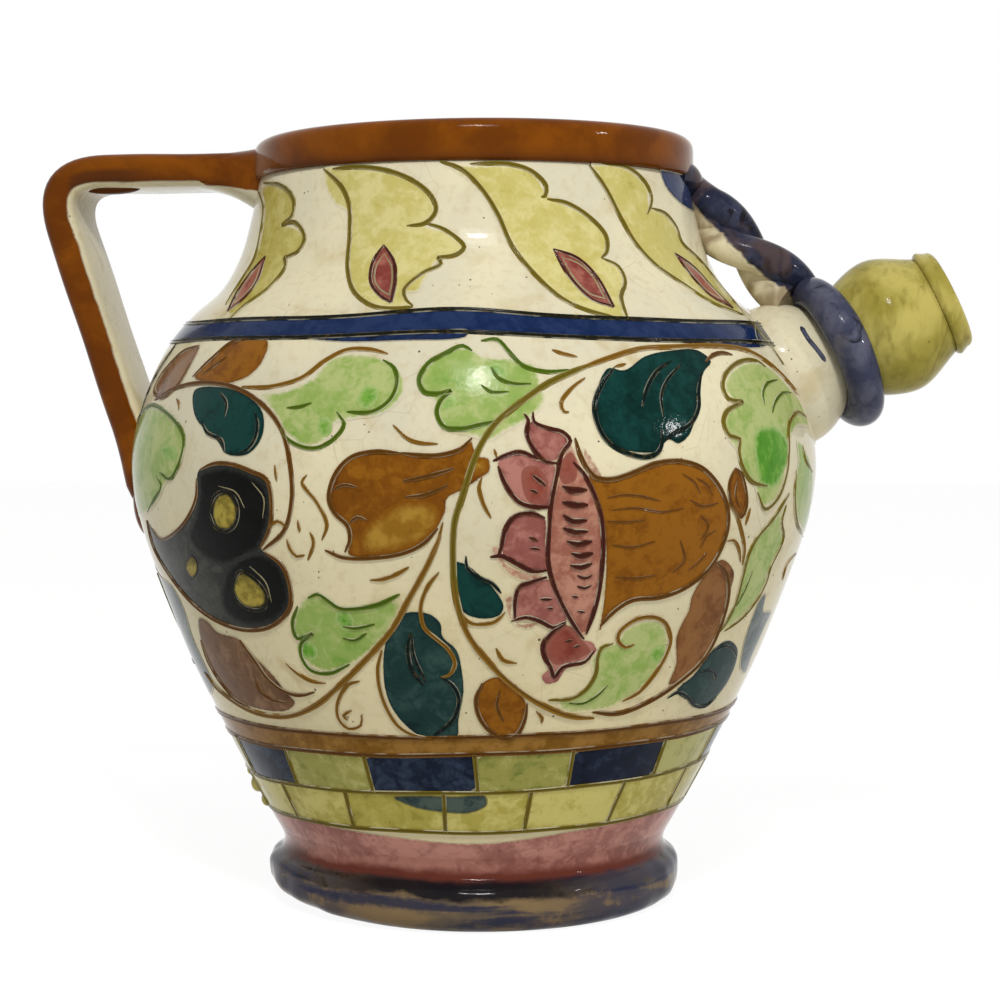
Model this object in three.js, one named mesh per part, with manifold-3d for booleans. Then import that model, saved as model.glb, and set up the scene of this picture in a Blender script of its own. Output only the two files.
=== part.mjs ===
// Majolica pitcher with a strap handle, a gourd-shaped spout and a twisted rope bridge.
// Millimetres, +Z up. The origin is the centre of the flat base.
// The spout points along +X and the handle along -X.
import * as THREE from 'three';
import { mergeVertices } from 'three/addons/utils/BufferGeometryUtils.js';
import Module from 'manifold-3d';

const wasm = await Module();
wasm.setup();

// Thickness of the slip that lutes one clay piece to another
const slipGap = 0.3;

// Thrown body: outside radius at each turning point of its outline, and the rise from the one below
const baseRadius = 50;
const baseRise = 9;
const waistRadius = 55.4;
const waistRise = 9;
const hipRadius = 70.2;
const hipRise = 27;
const flankRadius = 87;
const flankRise = 35.5;
const bellyRadius = 99.8;
const bellyRise = 45.5;
const shoulderRadius = 88.6;
const shoulderRise = 35;
const collarRadius = 71.6;
const collarRise = 18;
const neckRadius = 66.6;
const neckRise = 13;
const throatRadius = 63;
const throatRise = 16.6;
const wallThickness = 6.5;
const floorThickness = 9;

// Foot: the round-edged collar thrown onto the base
const footProjection = 9.6;
const footHeight = 14;
const footRound = 6;
const footSlope = 75;

// Rim: the thick band round the mouth
const rimOverhang = 1.4;
const rimHeight = 11.1;
const rimRound = 2.6;

// Handle: a flat strap with a level arm, one bend and a straight limb down to the belly
const strapWidth = 30;
const strapThickness = 9.8;
const strapRound = 3.6;
const handleDrop = 8.3;
const handleReach = 62.5;
const handleBend = 19;
const handleFootDrop = 12.5;
const handleFootDepth = 1;

// Spout: lengths run along its axis from where the axis leaves the body wall
const spoutRise = 26.6;
const spoutTilt = 25;
const rootRadius = 20.6;
const rootSwell = 18.6;
const rootLength = 6;
const tieRadius = 12.5;
const tieLength = 7.6;
const bulbShoulderRadius = 17;
const bulbShoulderLength = 6;
const bulbRadius = 20.2;
const bulbRise = 11.9;
const lipGrooveRadius = 14.7;
const bulbFall = 12.9;
const lipProjection = 1.2;
const lipTaper = 1.1;
const lipLength = 5.6;
const lipRound = 2;
const spoutWall = 4.2;
const pourHoleRadius = 11;

// Rope: two strands twisted into a bridge, and a leaning ring of the same clay tied round the spout
const strandRadius = 4.2;
const strandTurns = 1.16;
const strandStart = -67;
const ropeBow = 0.3;
const ringThickness = 10.4;
const ringLean = 12;

// Lutings: smears of soft clay worked over the joints
const lutingReach = 5;
const lutingSpread = 5.5;
const skirtReach = 2;

// Facets
const turnFacets = 48;
const spoutFacets = 28;
const ringFacets = 10;
const outlineSteps = 20;
const spoutSteps = 14;
const handleSteps = 34;
const strandSteps = 26;

const glaze = {
  cream: { color: 0xdfd6bb, roughness: 0.22, metalness: 0 },
  amber: { color: 0x9a5a1c, roughness: 0.25, metalness: 0 },
  indigo: { color: 0x39405f, roughness: 0.25, metalness: 0 },
  olive: { color: 0xa9a045, roughness: 0.22, metalness: 0 },
  slate: { color: 0x4b4a5c, roughness: 0.35, metalness: 0 },
};

const { degToRad } = THREE.MathUtils;

// A closed geometry as a solid: only positions count, and triangles that shrink to a line are dropped
function solidOf(geometry) {
  const bare = geometry.clone();
  bare.deleteAttribute('normal');
  bare.deleteAttribute('uv');
  const merged = mergeVertices(bare, 1e-4);
  const corners = merged.index.array;
  const kept = [];
  for (let i = 0; i < corners.length; i += 3) {
    const [a, b, c] = corners.slice(i, i + 3);
    if (a !== b && b !== c && c !== a) kept.push(a, b, c);
  }
  return new wasm.Manifold(new wasm.Mesh({
    numProp: 3,
    vertProperties: merged.attributes.position.array,
    triVerts: new Uint32Array(kept),
  }));
}

function geometryOf(solid) {
  const mesh = solid.getMesh();
  const positions = new Float32Array(mesh.numVert * 3);
  for (let i = 0; i < mesh.numVert; i++) {
    const start = i * mesh.numProp;
    positions.set(mesh.vertProperties.subarray(start, start + 3), i * 3);
  }
  const geometry = new THREE.BufferGeometry();
  geometry.setAttribute('position', new THREE.BufferAttribute(positions, 3));
  geometry.setIndex(new THREE.BufferAttribute(mesh.triVerts, 1));
  geometry.computeVertexNormals();
  return geometry;
}

// What is left of a solid outside some rooms; a cut can leave crumbs, so the biggest body counts
function clearOf(solid, ...rooms) {
  const left = rooms.reduce((rest, room) => rest.subtract(room), solid);
  return left.decompose().sort((a, b) => b.volume() - a.volume())[0];
}

// A turned solid about +Z from (radius, height) points that run up the outside and back down the inside
function turned(points, facets) {
  const profile = points.map(([radius, height]) => new THREE.Vector2(radius, height));
  return new THREE.LatheGeometry(profile, facets).rotateX(Math.PI / 2);
}

function turnedRing(points, facets) {
  return turned([...points, points[0]], facets);
}

// Points of an arc, with its angles in degrees from the outward radius
function arc(centreRadius, centreHeight, size, from, to) {
  const steps = 4;
  const points = [];
  for (let i = 0; i <= steps; i++) {
    const angle = degToRad(from + ((to - from) * i) / steps);
    points.push([centreRadius + size * Math.cos(angle), centreHeight + size * Math.sin(angle)]);
  }
  return points;
}

// A smooth line through (radius, height) points
function smoothLine(points) {
  const places = points.map(([radius, height]) => new THREE.Vector3(radius, 0, height));
  return new THREE.CatmullRomCurve3(places, false, 'centripetal');
}

// Points along a smooth line moved out by a distance, or in by a negative one
function offsetPoints(line, steps, offset) {
  const points = [];
  for (let i = 0; i <= steps; i++) {
    const place = line.getPointAt(i / steps);
    const along = line.getTangentAt(i / steps);
    points.push([place.x + along.z * offset, place.z - along.x * offset]);
  }
  return points;
}

// Radius of a run of (radius, height) points at a height
function radiusAt(points, height) {
  const above = points.findIndex(([, level]) => level >= height);
  const [lowRadius, low] = points[above - 1];
  const [highRadius, high] = points[above];
  return lowRadius + ((highRadius - lowRadius) * (height - low)) / (high - low);
}

// The body's outline, from base to mouth
const waistHeight = baseRise + waistRise;
const hipHeight = waistHeight + hipRise;
const flankHeight = hipHeight + flankRise;
const bellyHeight = flankHeight + bellyRise;
const shoulderHeight = bellyHeight + shoulderRise;
const collarHeight = shoulderHeight + collarRise;
const neckHeight = collarHeight + neckRise;
const throatHeight = neckHeight + throatRise;
const bodyLine = smoothLine([
  [baseRadius, 0],
  [baseRadius, baseRise],
  [waistRadius, waistHeight],
  [hipRadius, hipHeight],
  [flankRadius, flankHeight],
  [bellyRadius, bellyHeight],
  [shoulderRadius, shoulderHeight],
  [collarRadius, collarHeight],
  [neckRadius, neckHeight],
  [throatRadius, throatHeight],
]);
const bodyOutside = offsetPoints(bodyLine, outlineSteps, 0);

// The rim's place, seated on the throat
const rimFoot = throatHeight + slipGap;
const rimTop = rimFoot + rimHeight;
const rimRadius = throatRadius + rimOverhang;
const mouthRadius = throatRadius - wallThickness;

// Rooms: everything inside the body and inside the rim, with slip round it, which joined pieces are cut by
const bodyRoom = solidOf(turned(
  [[0, -slipGap], ...offsetPoints(bodyLine, outlineSteps, slipGap), [0, rimFoot]],
  turnFacets,
));
const rimRoom = solidOf(turned(
  [
    [0, throatHeight],
    [rimRadius + slipGap, throatHeight],
    ...arc(rimRadius - rimRound, rimTop - rimRound, rimRound + slipGap, 0, 90),
    [0, rimTop + slipGap],
  ],
  turnFacets,
));

// The spout's outline: a swelling root, the neck that the ring ties, a bulb and the groove behind the lip
const tieDistance = rootLength + tieLength;
const bulbStart = tieDistance + bulbShoulderLength;
const bulbDistance = bulbStart + bulbRise;
const lipGroove = bulbDistance + bulbFall;
const spoutLine = smoothLine([
  [rootRadius, 0],
  [rootSwell, rootLength],
  [tieRadius, tieDistance],
  [bulbShoulderRadius, bulbStart],
  [bulbRadius, bulbDistance],
  [lipGrooveRadius, lipGroove],
]);

// The spout's frame: its own +Z runs out along the axis
const spoutHeight = bellyHeight + spoutRise;
const tiltDown = degToRad(90 - spoutTilt);
const rootDepth = wallThickness + 2 * rootRadius * Math.tan(degToRad(spoutTilt));
const spoutPlace = new THREE.Matrix4()
  .makeTranslation(radiusAt(bodyOutside, spoutHeight), 0, spoutHeight)
  .multiply(new THREE.Matrix4().makeRotationY(tiltDown));

function onSpout(geometry) {
  return geometry.applyMatrix4(spoutPlace);
}

// The ring lies in the spout's neck and leans over towards the bulb on its -Y side
const ringTube = ringThickness / 2;
const ringRadius = tieRadius + slipGap + ringTube;

function ringAt(margin) {
  return onSpout(new THREE.TorusGeometry(ringRadius, ringTube + margin, ringFacets, spoutFacets)
    .rotateX(degToRad(-ringLean))
    .translate(0, 0, tieDistance));
}

const ringRoom = solidOf(ringAt(slipGap));
const spoutRoom = solidOf(onSpout(turned(
  [
    [0, -rootDepth],
    [rootRadius + slipGap, -rootDepth],
    ...offsetPoints(spoutLine, spoutSteps, slipGap),
    [0, lipGroove],
  ],
  spoutFacets,
)));

// The handle's line: a level arm and a straight limb that meet in one bend
const armHeight = rimTop - handleDrop;
const footHeightOnBelly = bellyHeight - handleFootDrop;
const footRadius = radiusAt(bodyOutside, footHeightOnBelly) - handleFootDepth;
const handleStart = new THREE.Vector3(-mouthRadius, 0, armHeight);
const handleCorner = new THREE.Vector3(-rimRadius - handleReach, 0, armHeight);
const handleEnd = new THREE.Vector3(-footRadius, 0, footHeightOnBelly);
const armWay = handleStart.clone().sub(handleCorner).normalize();
const limbWay = handleEnd.clone().sub(handleCorner).normalize();
const bendStart = handleCorner.clone().addScaledVector(armWay, handleBend);
const bendEnd = handleCorner.clone().addScaledVector(limbWay, handleBend);
const handleLine = new THREE.CurvePath();
handleLine.add(new THREE.LineCurve3(handleStart, bendStart));
handleLine.add(new THREE.QuadraticBezierCurve3(bendStart, handleCorner, bendEnd));
handleLine.add(new THREE.LineCurve3(bendEnd, handleEnd));

// The strap's section: thickness along its x, width along its y
function strapSection(margin) {
  const x = strapThickness / 2 - strapRound;
  const y = strapWidth / 2 - strapRound;
  const round = strapRound + margin;
  const quarter = Math.PI / 2;
  return new THREE.Shape()
    .absarc(x, y, round, 0, quarter)
    .absarc(-x, y, round, quarter, 2 * quarter)
    .absarc(-x, -y, round, 2 * quarter, 3 * quarter)
    .absarc(x, -y, round, 3 * quarter, 4 * quarter)
    .closePath();
}

function swept(section, line, steps) {
  return solidOf(new THREE.ExtrudeGeometry(section, {
    steps,
    extrudePath: line,
    bevelEnabled: false,
    curveSegments: section.curves.length > 1 ? 2 : 4,
  }));
}

const handleRoom = swept(strapSection(slipGap), handleLine, handleSteps);

// The rope's line bows up from under the rim to the top of the ring; both strands wind round it
const across = new THREE.Vector3(0, 1, 0);
const ropeStart = new THREE.Vector3(mouthRadius, 0, throatHeight);
const ropeEnd = new THREE.Vector3(-ringRadius, 0, tieDistance - strandRadius / 3).applyMatrix4(spoutPlace);
const ropeSag = ropeEnd.clone().sub(ropeStart).cross(across).setLength(2 * ropeBow);
const ropeMiddle = ropeStart.clone().lerp(ropeEnd, 0.5).add(ropeSag);
const ropeLine = new THREE.QuadraticBezierCurve3(ropeStart, ropeMiddle, ropeEnd);
const strandOrbit = strandRadius + slipGap;

class StrandLine extends THREE.Curve {
  constructor(start) {
    super();
    this.start = degToRad(start);
  }

  getPoint(share) {
    const angle = this.start - share * strandTurns * 2 * Math.PI;
    const up = ropeLine.getTangentAt(share).cross(across);
    return ropeLine.getPointAt(share)
      .addScaledVector(across, strandOrbit * Math.cos(angle))
      .addScaledVector(up, strandOrbit * Math.sin(angle));
  }
}

function strandAt(start, margin) {
  const section = new THREE.Shape().absarc(0, 0, strandRadius + margin, 0, 2 * Math.PI);
  return swept(section, new StrandLine(start), strandSteps);
}

const strandStarts = { front: strandStart, back: strandStart + 180 };
const strandRooms = Object.values(strandStarts).map((start) => strandAt(start, slipGap));

// An egg-shaped smear of clay, before the pieces that it joins are cut out of it
function smear(centre, sizes) {
  return solidOf(new THREE.SphereGeometry(1, 18, 10).scale(...sizes).translate(...centre.toArray()));
}

// The pieces
function body() {
  const inside = offsetPoints(bodyLine, outlineSteps, -wallThickness);
  const wallTop = throatHeight - wallThickness;
  const wall = inside.filter(([, height]) => height > floorThickness && height < wallTop);
  const floorRadius = wall[0][0];
  const shell = solidOf(turned(
    [
      [0, 0],
      ...bodyOutside,
      [mouthRadius, throatHeight],
      ...wall.reverse(),
      [floorRadius, floorThickness],
      [0, floorThickness],
    ],
    turnFacets,
  ));
  const drill = new THREE.CylinderGeometry(pourHoleRadius, pourHoleRadius, 2 * rootDepth, spoutFacets);
  return shell.subtract(solidOf(onSpout(drill.rotateX(Math.PI / 2))));
}

function footRing() {
  const round = baseRadius + footProjection - footRound;
  const bulge = turned(
    [
      [0, 0],
      ...arc(round, footRound, footRound, -90, 0),
      ...arc(round, footHeight - footRound, footRound, 0, footSlope),
      [0, footHeight],
    ],
    turnFacets,
  );
  return clearOf(solidOf(bulge), bodyRoom);
}

function rimCollar() {
  return solidOf(turnedRing(
    [
      [mouthRadius, rimFoot],
      [rimRadius, rimFoot],
      ...arc(rimRadius - rimRound, rimTop - rimRound, rimRound, 0, 90),
      ...arc(mouthRadius + rimRound, rimTop - rimRound, rimRound, 90, 180),
    ],
    turnFacets,
  ));
}

function strapHandle() {
  return clearOf(swept(strapSection(0), handleLine, handleSteps), bodyRoom, rimRoom);
}

function handleUpperLuting() {
  const centre = new THREE.Vector3(-throatRadius, 0, armHeight - lutingReach / 2);
  const width = strapWidth / 2 + lutingSpread;
  const depth = strapThickness / 2 + lutingSpread;
  const sizes = [lutingSpread + lutingReach, width, depth];
  return clearOf(smear(centre, sizes), handleRoom, bodyRoom, rimRoom);
}

function handleLowerLuting() {
  const centre = handleEnd.clone().addScaledVector(limbWay, -strapThickness);
  const sizes = [lutingReach, strapWidth / 2 + lutingSpread, strapThickness + lutingSpread];
  return clearOf(smear(centre, sizes), handleRoom, bodyRoom);
}

const tieBore = tieRadius - spoutWall;
const spoutOutside = offsetPoints(spoutLine, spoutSteps, 0);
const spoutInside = offsetPoints(spoutLine, spoutSteps, -spoutWall);

function spoutTube() {
  const tube = turnedRing(
    [
      [rootRadius, -rootDepth],
      ...spoutOutside.filter(([, distance]) => distance < tieDistance - slipGap),
      [radiusAt(spoutOutside, tieDistance - slipGap), tieDistance - slipGap],
      [tieBore, tieDistance - slipGap],
      [tieBore, rootLength],
      [rootRadius - spoutWall, 0],
      [rootRadius - spoutWall, -rootDepth],
    ],
    spoutFacets,
  );
  return clearOf(solidOf(onSpout(tube)), bodyRoom, ringRoom);
}

function spoutLuting() {
  const skirtRadius = rootRadius + skirtReach;
  const skirt = new THREE.CylinderGeometry(skirtRadius, skirtRadius, 2 * rootDepth, spoutFacets);
  const coat = solidOf(turned(
    [[0, 0], ...offsetPoints(bodyLine, outlineSteps, slipGap + skirtReach), [0, throatHeight]],
    turnFacets,
  ));
  const coil = solidOf(onSpout(skirt.rotateX(Math.PI / 2))).intersect(coat);
  return clearOf(coil, spoutRoom, bodyRoom, ringRoom, ...strandRooms);
}

function spoutBulb() {
  const bulb = turnedRing(
    [
      [radiusAt(spoutOutside, tieDistance), tieDistance],
      ...spoutOutside.filter(([, distance]) => distance > tieDistance),
      ...spoutInside.filter(([, distance]) => distance > bulbStart).reverse(),
      [tieBore, bulbStart],
      [tieBore, tieDistance],
    ],
    spoutFacets,
  );
  return clearOf(solidOf(onSpout(bulb)), ringRoom);
}

function spoutLip() {
  const lipStart = lipGroove + slipGap;
  const lipEnd = lipStart + lipLength;
  const lipRadius = lipGrooveRadius + lipProjection;
  const boreRadius = lipGrooveRadius - spoutWall;
  return solidOf(onSpout(turnedRing(
    [
      [boreRadius, lipStart],
      [lipRadius, lipStart],
      ...arc(lipRadius - lipTaper - lipRound, lipEnd - lipRound, lipRound, 0, 90),
      [boreRadius, lipEnd],
    ],
    spoutFacets,
  )));
}

function ropeRing() {
  return solidOf(ringAt(0));
}

function ropeStrand(start) {
  return clearOf(strandAt(start, 0), bodyRoom, rimRoom, spoutRoom, ringRoom);
}

function ropeLuting() {
  const height = throatHeight - 2 * strandRadius;
  const centre = new THREE.Vector3(radiusAt(bodyOutside, height), 0, height);
  const spread = strandOrbit + strandRadius + lutingReach / 2;
  const sizes = [lutingSpread + lutingReach / 2, spread, spread];
  return clearOf(smear(centre, sizes), ...strandRooms, bodyRoom, rimRoom);
}

const pitcher = new THREE.Group();
pitcher.name = 'majolica_pitcher';

function addPiece(name, solid, finish) {
  const mesh = new THREE.Mesh(geometryOf(solid), new THREE.MeshStandardMaterial(finish));
  mesh.name = name;
  pitcher.add(mesh);
}

addPiece('body', body(), glaze.cream);
addPiece('foot_ring', footRing(), glaze.slate);
addPiece('rim_collar', rimCollar(), glaze.amber);
addPiece('strap_handle', strapHandle(), glaze.amber);
addPiece('handle_upper_luting', handleUpperLuting(), glaze.amber);
addPiece('handle_lower_luting', handleLowerLuting(), glaze.amber);
addPiece('spout_tube', spoutTube(), glaze.cream);
addPiece('spout_luting', spoutLuting(), glaze.cream);
addPiece('spout_bulb', spoutBulb(), glaze.olive);
addPiece('spout_lip', spoutLip(), glaze.olive);
addPiece('rope_ring', ropeRing(), glaze.indigo);
addPiece('rope_strand_front', ropeStrand(strandStarts.front), glaze.indigo);
addPiece('rope_strand_back', ropeStrand(strandStarts.back), glaze.indigo);
addPiece('rope_luting', ropeLuting(), glaze.indigo);

export default pitcher;
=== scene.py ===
# Majolica pitcher: glazed pieces round the packed clay frame, with incised and painted ornament.
import math
import random

import bmesh
import bpy
from mathutils import Matrix, Vector, noise
from mathutils.geometry import delaunay_2d_cdt


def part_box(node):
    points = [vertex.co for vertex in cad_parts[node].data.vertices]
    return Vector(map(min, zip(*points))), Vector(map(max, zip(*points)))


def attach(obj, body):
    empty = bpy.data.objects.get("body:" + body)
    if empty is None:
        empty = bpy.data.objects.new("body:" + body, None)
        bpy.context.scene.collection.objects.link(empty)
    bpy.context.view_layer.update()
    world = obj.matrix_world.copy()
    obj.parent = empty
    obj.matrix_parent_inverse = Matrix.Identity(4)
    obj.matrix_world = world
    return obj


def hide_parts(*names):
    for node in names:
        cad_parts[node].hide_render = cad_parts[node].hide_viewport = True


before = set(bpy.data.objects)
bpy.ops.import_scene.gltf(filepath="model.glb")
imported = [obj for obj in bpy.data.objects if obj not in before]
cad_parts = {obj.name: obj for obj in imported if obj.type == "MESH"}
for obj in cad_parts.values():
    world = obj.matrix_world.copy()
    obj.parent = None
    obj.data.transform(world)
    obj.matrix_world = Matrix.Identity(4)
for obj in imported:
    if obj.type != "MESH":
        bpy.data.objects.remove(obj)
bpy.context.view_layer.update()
millimetre = 0.001
print("frame loaded:", len(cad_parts), "clay pieces")


# Node trees: one class writes nodes, the other lets shader maths read as plain expressions
class Flow:
    def __init__(self, recipe, socket):
        self.recipe = recipe
        self.socket = socket

    def math(self, operation, *values):
        return self.recipe.node("ShaderNodeMath", {"operation": operation}, dict(enumerate(values)))

    def __add__(self, other):
        return self.math("ADD", self, other)

    def __radd__(self, other):
        return self.math("ADD", other, self)

    def __sub__(self, other):
        return self.math("SUBTRACT", self, other)

    def __rsub__(self, other):
        return self.math("SUBTRACT", other, self)

    def __mul__(self, other):
        return self.math("MULTIPLY", self, other)

    def __truediv__(self, other):
        return self.math("DIVIDE", self, other)

    def __pow__(self, other):
        return self.math("POWER", self, other)


class Recipe:
    def __init__(self, tree):
        self.tree = tree

    def node(self, kind, settings=None, sockets=None, output=0):
        made = self.tree.nodes.new(kind)
        for name, value in (settings or {}).items():
            setattr(made, name, value)
        for name, value in (sockets or {}).items():
            if isinstance(value, Flow):
                self.tree.links.new(value.socket, made.inputs[name])
            else:
                made.inputs[name].default_value = value
        return Flow(self, made.outputs[output]) if made.outputs else None

    def place(self):
        return self.node("ShaderNodeTexCoord", output="Object")

    def attribute(self, name, output="Fac"):
        return self.node("ShaderNodeAttribute", {"attribute_name": name}, output=output)

    def stretch(self, vector, scale):
        return self.node("ShaderNodeVectorMath", {"operation": "MULTIPLY"}, {0: vector, 1: scale})

    def clouds(self, vector, scale, detail=3, distortion=0):
        sockets = {"Vector": vector, "Scale": scale, "Detail": detail, "Distortion": distortion}
        return self.node("ShaderNodeTexNoise", sockets=sockets)

    def cells(self, vector, scale, feature="F1"):
        sockets = {"Vector": vector, "Scale": scale}
        return self.node("ShaderNodeTexVoronoi", {"feature": feature}, sockets, "Distance")

    def ramp(self, value, low, high):  # 0 below low, 1 above high, smooth between
        sockets = {"Value": value, "From Min": low, "From Max": high}
        return self.node("ShaderNodeMapRange", {"interpolation_type": "SMOOTHSTEP"}, sockets)

    def mix(self, share, first, second, blend="MIX"):
        settings = {"data_type": "RGBA", "blend_type": blend}
        return self.node("ShaderNodeMix", settings, {0: share, 6: first, 7: second}, output=2)


def screenColour(red, green, blue):  # 0 to 255, as read off a screen
    def light(value):
        share = value / 255
        return share / 12.92 if share <= 0.04045 else ((share + 0.055) / 1.055) ** 2.4
    return (light(red), light(green), light(blue), 1)


def newFinish(name):
    material = bpy.data.materials.new(name)
    material.use_nodes = True
    material.node_tree.nodes.clear()
    return material, Recipe(material.node_tree)


glazeGloss = dict(specular=0.06, roughness=0.03, waver=0.08, peel=0.0001, peelStrength=0.5)


def glazed(recipe, colour, dullness, height):
    normal = recipe.node("ShaderNodeBump", sockets={
        "Strength": glazeGloss["peelStrength"], "Distance": glazeGloss["peel"], "Height": height,
    })
    shader = recipe.node("ShaderNodeBsdfPrincipled", sockets={
        "Base Color": colour,
        "Roughness": glazeGloss["roughness"] + dullness * glazeGloss["waver"],
        "Specular IOR Level": glazeGloss["specular"],
        "Normal": normal,
    })
    recipe.node("ShaderNodeOutputMaterial", sockets={"Surface": shader})


# Cream ground: warm and grey clouds, kiln specks and a faint craze
creamGround = dict(
    bright=screenColour(238, 232, 204),
    warm=screenColour(222, 213, 180),
    grey=screenColour(209, 202, 176),
    low=screenColour(216, 201, 150),
    rust=screenColour(184, 162, 110),
    speck=screenColour(40, 34, 28),
    craze=screenColour(176, 160, 128),
    lowFrom=0.15,  # metres up the body, where the low tint starts and where it is full
    lowFull=0.06,
)


def creamColour(recipe, place):
    look = creamGround
    wide = recipe.clouds(place, 26, 4)
    colour = recipe.mix(recipe.ramp(wide, 0.36, 0.66), look["warm"], look["grey"])
    height = recipe.node("ShaderNodeSeparateXYZ", sockets={0: place}, output="Z")
    low = 1 - recipe.ramp(height, look["lowFull"], look["lowFrom"])
    colour = recipe.mix(low * 0.5, colour, look["low"])
    stain = recipe.ramp(recipe.clouds(place, 75, 6, 0.8), 0.54, 0.76)
    colour = recipe.mix(stain * 0.5, colour, look["rust"])
    grain = recipe.ramp(recipe.clouds(place, 480, 4), 0.5, 0.72)
    colour = recipe.mix(grain * 0.22, colour, look["rust"])
    crackle = recipe.cells(place, 85, "DISTANCE_TO_EDGE")
    thread = (1 - recipe.ramp(crackle, 0.004, 0.016)) * recipe.ramp(recipe.clouds(place, 30, 2), 0.5, 0.66)
    colour = recipe.mix(thread * 0.35, colour, look["craze"])
    for scale, size, sparse in ((170, 0.08, 0.57), (420, 0.14, 0.6)):
        dot = 1 - recipe.ramp(recipe.cells(place, scale), size * 0.6, size)
        here = recipe.ramp(recipe.clouds(place, scale * 0.37, 2), sparse - 0.02, sparse + 0.02)
        colour = recipe.mix(dot * here * 0.85, colour, look["speck"])
    return colour


def creamGlaze():
    material, recipe = newFinish("creamGlaze")
    place = recipe.place()
    fine = recipe.clouds(place, 420, 3)
    ribs = recipe.clouds(recipe.stretch(place, (0.3, 0.3, 3)), 90, 3)
    glazed(recipe, creamColour(recipe, place), fine, fine * 0.6 + ribs * 1.6)
    return material


# Painted glazes: thin, full and pooled strengths of one colour; a patch fades into the cream at its edge
paintedLooks = dict(
    cobalt=dict(thin=(30, 47, 85), full=(13, 34, 74), pooled=(8, 16, 36), feather=0.25),
    brickBlue=dict(thin=(46, 58, 78), full=(16, 25, 44), pooled=(5, 8, 14), feather=0.5),
    teal=dict(thin=(13, 58, 53), full=(3, 41, 37), pooled=(1, 18, 18), feather=0.2),
    petrol=dict(thin=(46, 72, 67), full=(23, 52, 49), pooled=(8, 30, 33), feather=0.25),
    indigo=dict(thin=(50, 60, 92), full=(30, 38, 68), pooled=(14, 18, 34), feather=0.4),
    ranBlue=dict(
        thin=(76, 90, 82), full=(44, 60, 62), pooled=(26, 38, 44), feather=0.6, under=(140, 132, 66),
    ),
    slate=dict(thin=(104, 112, 106), full=(66, 80, 82), pooled=(36, 48, 54), feather=0.8),
    leafGreen=dict(
        thin=(172, 182, 117), full=(140, 165, 84), pooled=(108, 150, 54), feather=1.4, rimmed=0.16,
    ),
    moss=dict(
        thin=(112, 160, 58), full=(74, 136, 28), pooled=(48, 104, 12), feather=1.9, under=(156, 180, 106),
    ),
    lime=dict(thin=(207, 197, 134), full=(191, 180, 105), pooled=(168, 154, 66), feather=1.2, rimmed=0.12),
    ochre=dict(thin=(140, 88, 16), full=(117, 68, 6), pooled=(80, 42, 4), feather=0.5),
    rust=dict(thin=(136, 92, 50), full=(112, 68, 30), pooled=(78, 44, 14), feather=0.4),
    taupe=dict(thin=(138, 104, 74), full=(108, 76, 48), pooled=(78, 50, 28), feather=0.5),
    soot=dict(thin=(11, 12, 9), full=(4, 5, 3), pooled=(1, 1, 1), feather=2.2, under=(44, 46, 42)),
    smoke=dict(thin=(66, 68, 60), full=(44, 46, 42), pooled=(22, 24, 22), feather=0.2),
    gold=dict(thin=(165, 127, 46), full=(140, 98, 24), pooled=(112, 72, 12), feather=3.0, under=(126, 76, 8)),
    amberEye=dict(
        thin=(168, 150, 64), full=(118, 104, 36), pooled=(78, 68, 22), feather=0.9, under=(12, 14, 12),
    ),
    wine=dict(thin=(172, 116, 104), full=(141, 83, 75), pooled=(102, 45, 44), feather=0.4, rimmed=0.42),
    claret=dict(
        thin=(140, 74, 60), full=(122, 54, 44), pooled=(84, 30, 26), feather=2.2, under=(142, 84, 70),
    ),
    almond=dict(thin=(158, 96, 82), full=(126, 58, 50), pooled=(88, 34, 30), feather=0.3, rimmed=0.3),
    blush=dict(thin=(181, 130, 109), full=(150, 93, 77), pooled=(122, 68, 60), feather=0.9, rimmed=0.2),
    brickYellow=dict(
        thin=(200, 190, 112), full=(172, 161, 76), pooled=(132, 120, 42), feather=0.7, rimmed=0.4,
    ),
    brickGreen=dict(
        thin=(178, 174, 108), full=(150, 147, 76), pooled=(106, 118, 50), feather=0.7, rimmed=0.4,
    ),
    rosewood=dict(thin=(188, 134, 120), full=(154, 102, 92), pooled=(114, 62, 56), feather=0.8, rimmed=0.4),
    tan=dict(thin=(146, 106, 46), full=(118, 80, 18), pooled=(84, 54, 8), feather=0.3),
)


def paintedGlaze(name):
    look = paintedLooks[name]
    thin, full, pooled = (screenColour(*look[key]) for key in ("thin", "full", "pooled"))
    material, recipe = newFinish(name + "Glaze")
    place = recipe.place()
    edge = recipe.attribute("edge")
    fine = recipe.clouds(place, 900, 4)
    blotch = recipe.clouds(place, 250, 5, 0.7)
    wash = recipe.clouds(place, 100, 3, 0.5) * 0.5 + blotch * 0.5 + recipe.attribute("tone")
    colour = recipe.mix(recipe.ramp(wash + fine * 0.2, 0.5, 0.7), thin, full)
    dots = recipe.ramp(recipe.clouds(place, 320, 5, 1.2), 0.54, 0.7)
    rimmed = (1 - recipe.ramp(edge + fine * 1.4, 0.5, 2.4)) * look.get("rimmed", 0.6)
    pool = rimmed + recipe.ramp(wash, 0.56, 0.76) * 0.55
    colour = recipe.mix(recipe.ramp(pool + dots * 0.34, 0.1, 0.9), colour, pooled)
    feather = look["feather"]
    wet = recipe.ramp(edge + (fine - 0.5) * feather, 0, feather)
    ground = screenColour(*look["under"]) if "under" in look else creamColour(recipe, place)
    colour = recipe.mix(wet, ground, colour)
    glazed(recipe, colour, fine, fine + recipe.ramp(edge, 0, 1.2))
    return material


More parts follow.
